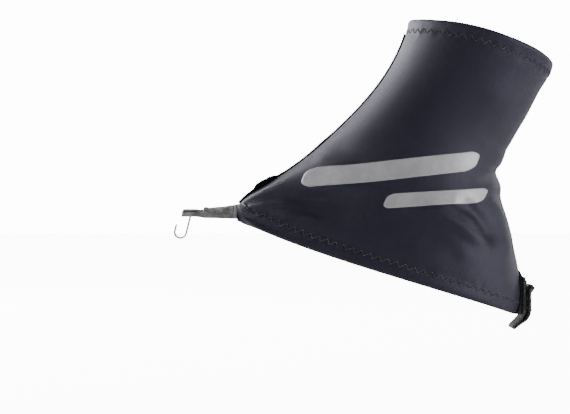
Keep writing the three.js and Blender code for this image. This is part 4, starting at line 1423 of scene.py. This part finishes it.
def webbing_piece(name, slot, body, bulge=0.14, step=0.35, soften=2, swell=0.0):
    """A strap of webbing from its side view, with a rounded selvedge at both edges and softened corners."""
    columns = 31
    outline, half = side_outline(name)
    ring = refine(outline, step)
    for _ in range(soften):
        ring = (np.roll(ring, 1, 0) + 2 * ring + np.roll(ring, -1, 0)) / 4
    tangent = unit(np.roll(ring, -1, 0) - np.roll(ring, 1, 0))
    normal = np.stack([tangent[:, 1], -tangent[:, 0]], -1)
    area = np.sum(ring[:, 0] * np.roll(ring[:, 1], -1) - np.roll(ring[:, 0], -1) * ring[:, 1])
    if area < 0:
        normal = -normal
    y = half * np.sin(np.linspace(-1, 1, columns) * math.pi / 2)
    near = np.clip((half - abs(y)) / 1.1, 0, 1)
    rounded = -0.32 * (1 - np.sqrt(1 - (1 - near) ** 2))
    thin = rounded + bulge * np.exp(-(((half - abs(y) - 1.3) / 0.7) ** 2)) + swell
    grid = np.zeros((columns, len(ring), 3))
    grid[..., 0] = ring[:, 0] + normal[:, 0] * thin[:, None]
    grid[..., 2] = ring[:, 1] + normal[:, 1] * thin[:, None]
    grid[..., 1] = y[:, None]
    faces = grid_faces(columns, len(ring), flip=area > 0, wrap=True)
    last = (columns - 1) * len(ring)
    end = tuple(range(len(ring)))
    faces += [end if area < 0 else end[::-1]]
    faces += [tuple(last + v for v in (end[::-1] if area < 0 else end))]
    around = lengths_along(np.concatenate([ring, ring[:1]]), 0)[:-1]
    uv = np.stack(np.broadcast_arrays(y[:, None], around[None, :]), -1).reshape(-1, 2)
    piece = make_mesh(name, grid.reshape(-1, 3), faces, uv)
    return settle(piece, slot, body, name)


def heel_backing():
    """Folded seam fabric between the sleeve and the strap, which is sewn through it."""
    strap = node_points("heel_strap")
    half = strap[:, 1].max() - 0.9
    low = float(sleeve.bottom(math.pi)) + 0.7
    height = np.linspace(low, strap[:, 2].max() + 2.4, 44)[:, None]
    slope = sleeve.face(math.pi - 0.05, height)[..., 1] / math.sin(0.05)
    taper = 1 - 0.75 * smooth((height - height[-1] + 3.2) / 3.2)
    y = np.linspace(-half, half, 29)[None, :] * taper
    turn = math.pi - np.arcsin(np.clip(y / slope, -1, 1))
    inner = to_row(sleeve.face(turn, height) + sleeve.normal(turn, height) * 0.05)
    outer = inner.copy()
    outer[..., 0] += gap_behind(inner, face_tree("heel_strap", strap))
    piece = two_sided("heel_backing", outer, inner, flip=True)
    return settle(piece, "seam_tape", "sleeve", finish="backing")


def gap_behind(inner, tree):
    """Distance from each point back to the strap. Above the strap it thins out to a quarter."""
    gap = np.full(inner.shape[:2], np.nan)
    for r, c in np.ndindex(gap.shape):
        hit = tree.ray_cast(Vector(inner[r, c]), Vector((1, 0, 0)), 6.0)[0]
        if hit is not None:
            gap[r, c] = hit.x - 0.04 - inner[r, c, 0]
    for column in gap.T:
        known = np.flatnonzero(~np.isnan(column))
        column[:] = np.interp(np.arange(len(column)), known, column[known])
        column[known.max() :] *= np.linspace(1, 0.25, len(column) - known.max())
    return gap


def flap_fold():
    """The webbing's fold between the strap's foot and the flap, inside both until the flap is peeled."""
    down, behind = unit(np.array([-1.0, 0.0, -1.0])), unit(np.array([1.0, 0.0, -1.0]))
    half = node_points("heel_flap")[:, 1].max() - 0.35
    along = np.linspace(0.65, -2.35, 25)[:, None, None]
    across = np.linspace(-half, half, 21)[None, :, None] * np.array([0.0, 1.0, 0.0])
    outer, inner = (FLAP_PIVOT + down * along + behind * depth + across for depth in (-0.2, -1.0))
    piece = dress(two_sided("heel_flap_fold", outer, inner, flip=True), "webbing")
    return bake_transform(piece)


heel_backing()
webbing_piece("heel_strap", "webbing", "sleeve")
webbing_piece("heel_flap", "webbing", "heel_flap")
flap_fold()
webbing_piece("heel_loop_patch", "loop_pile", "sleeve", bulge=0.05, step=0.25, soften=1, swell=0.14)
webbing_piece("heel_hook_patch", "hook_pile", "heel_flap", bulge=0.05, step=0.25, soften=1, swell=0.14)


def sew(name, runs, body):
    """Rows of straight stitches. Each run is a line of points and the direction off the cloth at each."""
    parts = []
    for line, ups in runs:
        line, ups = np.asarray(line, float), np.asarray(ups, float)
        length = lengths_along(line, 0)
        for start, end, middle in stitch_places(line, STRAP_STITCH_PITCH):
            parts.append(stitch(start, end, unit(value_at(middle, length, ups))))
    return settle(make_mesh(name, *joined(parts)), "thread", body, name)


def strap_stitches():
    low, high = node_box("heel_strap_stitching")
    strap = node_points("heel_strap")
    top = strap[:, 2].max()
    face = strap[strap[:, 2] > top - 0.5][:, 0].max() + 0.08
    rows = []
    for z in (top - 0.75, top - 1.65):
        rows.append(([(face, low[1], z), (face, high[1], z)], [(1, 0, 0)] * 2))
    return sew("heel_strap_stitching", rows, "sleeve")


def flap_stitches():
    """A box of stitches through the flap round its patch, in the place of the frame's thread."""
    points = node_points("heel_flap_stitching")
    half = abs(points[:, 1]).max() - 0.2
    side = points[points[:, 1] > half - 0.6]
    marks = np.unique(np.round(side[:, 2], 1))
    line = []
    for z in np.linspace(marks.min() + 0.2, marks.max() - 0.2, 9):
        near = side[np.argsort(abs(side[:, 2] - z))[:4]]
        line.append((near[:, 0].mean() - 0.42, z))
    line = np.array(line)
    tangent = unit(np.gradient(line, axis=0))
    out = np.stack([tangent[:, 1], -tangent[:, 0]], -1)

    def run(y):
        return [(x, y, z) for x, z in line], [(u, 0, w) for u, w in out]

    rows = [run(half), run(-half)]
    for k in (0, -1):
        ends = [(line[k, 0], -half, line[k, 1]), (line[k, 0], half, line[k, 1])]
        rows.append((ends, [(out[k, 0], 0, out[k, 1])] * 2))
    return sew("heel_flap_stitching", rows, "heel_flap")


def flap_edge():
    """The bead of melted yarn along the flap's free end."""
    flap = node_points("heel_flap")
    end = flap[flap[:, 2] > flap[:, 2].max() - 0.5].mean(0)
    half = flap[:, 1].max() - 0.4
    y = np.linspace(-half, half, 60)
    x = end[0] + 0.06 * np.sin(y * 1.9)
    z = end[2] - 0.35 + 0.08 * np.sin(y * 1.3 + 1.0)
    radius = 0.72 + 0.07 * np.sin(y * 2.7)
    mesh = tube(np.stack([x, y, z], -1), radius, 14, np.array([0.0, 0.0, 1.0]))
    return settle(make_mesh("heel_flap_melted_edge", *mesh), "coated_fabric", "heel_flap")


strap_stitches()
flap_stitches()
flap_edge()

# ---------------------------------------------------------------- CAD nodes that show as they are

for node in ("cuff_elastic", "hem_elastic"):
    frame["nodes"][node].data.materials.clear()
    frame["nodes"][node].data.materials.append(FINISH["elastic"])

# ---------------------------------------------------------------- each panel's flat area, capped at its width times length

for panel, (width, length, area) in panels:
    area = min(area, width * length)

# ---------------------------------------------------------------- stage

SOLE_DROP = 27.0  # how far the gaiter hangs over the floor, the height of a shoe's sole and heel
FLOOR_GLOW = 11.5  # how bright the floor shows, which lights nothing
WORLD_SEEN = 14.0  # how bright the background shows
WORLD_LIT = 0.17  # how much light it gives
LIGHTS_AIM = (-0.09, 0, 0.07)


def stage():
    floor_level = CAD_BOX[0][2] - SOLE_DROP * MM
    bpy.ops.mesh.primitive_circle_add(vertices=96, radius=6, fill_type="NGON", location=(0, 0, floor_level))
    floor = bpy.context.active_object
    floor.name = "floor"
    made, n, shader = material("pale_floor")
    tone = n.noise(n.row_place(), 3.0, 2.0, 0.5)
    n.set(shader, "Base_Color", n.mix(tone, (0.86, 0.86, 0.87, 1), (0.9, 0.9, 0.9, 1)))
    set_plain(shader, Roughness=0.8)
    seen = n.tree.nodes.new("ShaderNodeLightPath").outputs["Is Camera Ray"]
    n.set(shader, "Emission_Color", (1, 1, 1, 1))
    n.set(shader, "Emission_Strength", n.times(seen, FLOOR_GLOW))
    floor.data.materials.append(made)


def area_light(name, place, size, power):
    data = bpy.data.lights.new(name, "AREA")
    data.shape = "RECTANGLE"
    data.size, data.size_y = size
    data.energy = power
    lamp = bpy.data.objects.new(name, data)
    lamp.location = place
    lamp.rotation_euler = (Vector(LIGHTS_AIM) - Vector(place)).to_track_quat("-Z", "Y").to_euler()
    bpy.context.scene.collection.objects.link(lamp)


def lights():
    area_light("key", (-1.06, 0.70, 0.36), (1.0, 1.0), 44)
    area_light("front", (-0.9, -0.6, 0.7), (0.35, 0.35), 3.5)
    area_light("fill", (1.4, -0.55, 0.05), (0.6, 0.6), 34)
    area_light("rim", (0.75, 0.75, 0.5), (0.5, 0.9), 5)


def background():
    """A bright white backdrop that gives little light of its own."""
    world = bpy.data.worlds.new("studio")
    bpy.context.scene.world = world
    world.use_nodes = True
    tree = world.node_tree
    tree.nodes.clear()
    n = Nodes(tree)
    seen = n.new("Background", Color=(1, 1, 1, 1), Strength=WORLD_SEEN)
    lit = n.new("Background", Color=(1, 1, 1, 1), Strength=WORLD_LIT)
    mix = n.new("MixShader", Fac=tree.nodes.new("ShaderNodeLightPath").outputs["Is Camera Ray"])
    tree.links.new(lit.outputs[0], mix.inputs[1])
    tree.links.new(seen.outputs[0], mix.inputs[2])
    out = tree.nodes.new("ShaderNodeOutputWorld")
    tree.links.new(mix.outputs[0], out.inputs[0])


stage()
lights()
background()
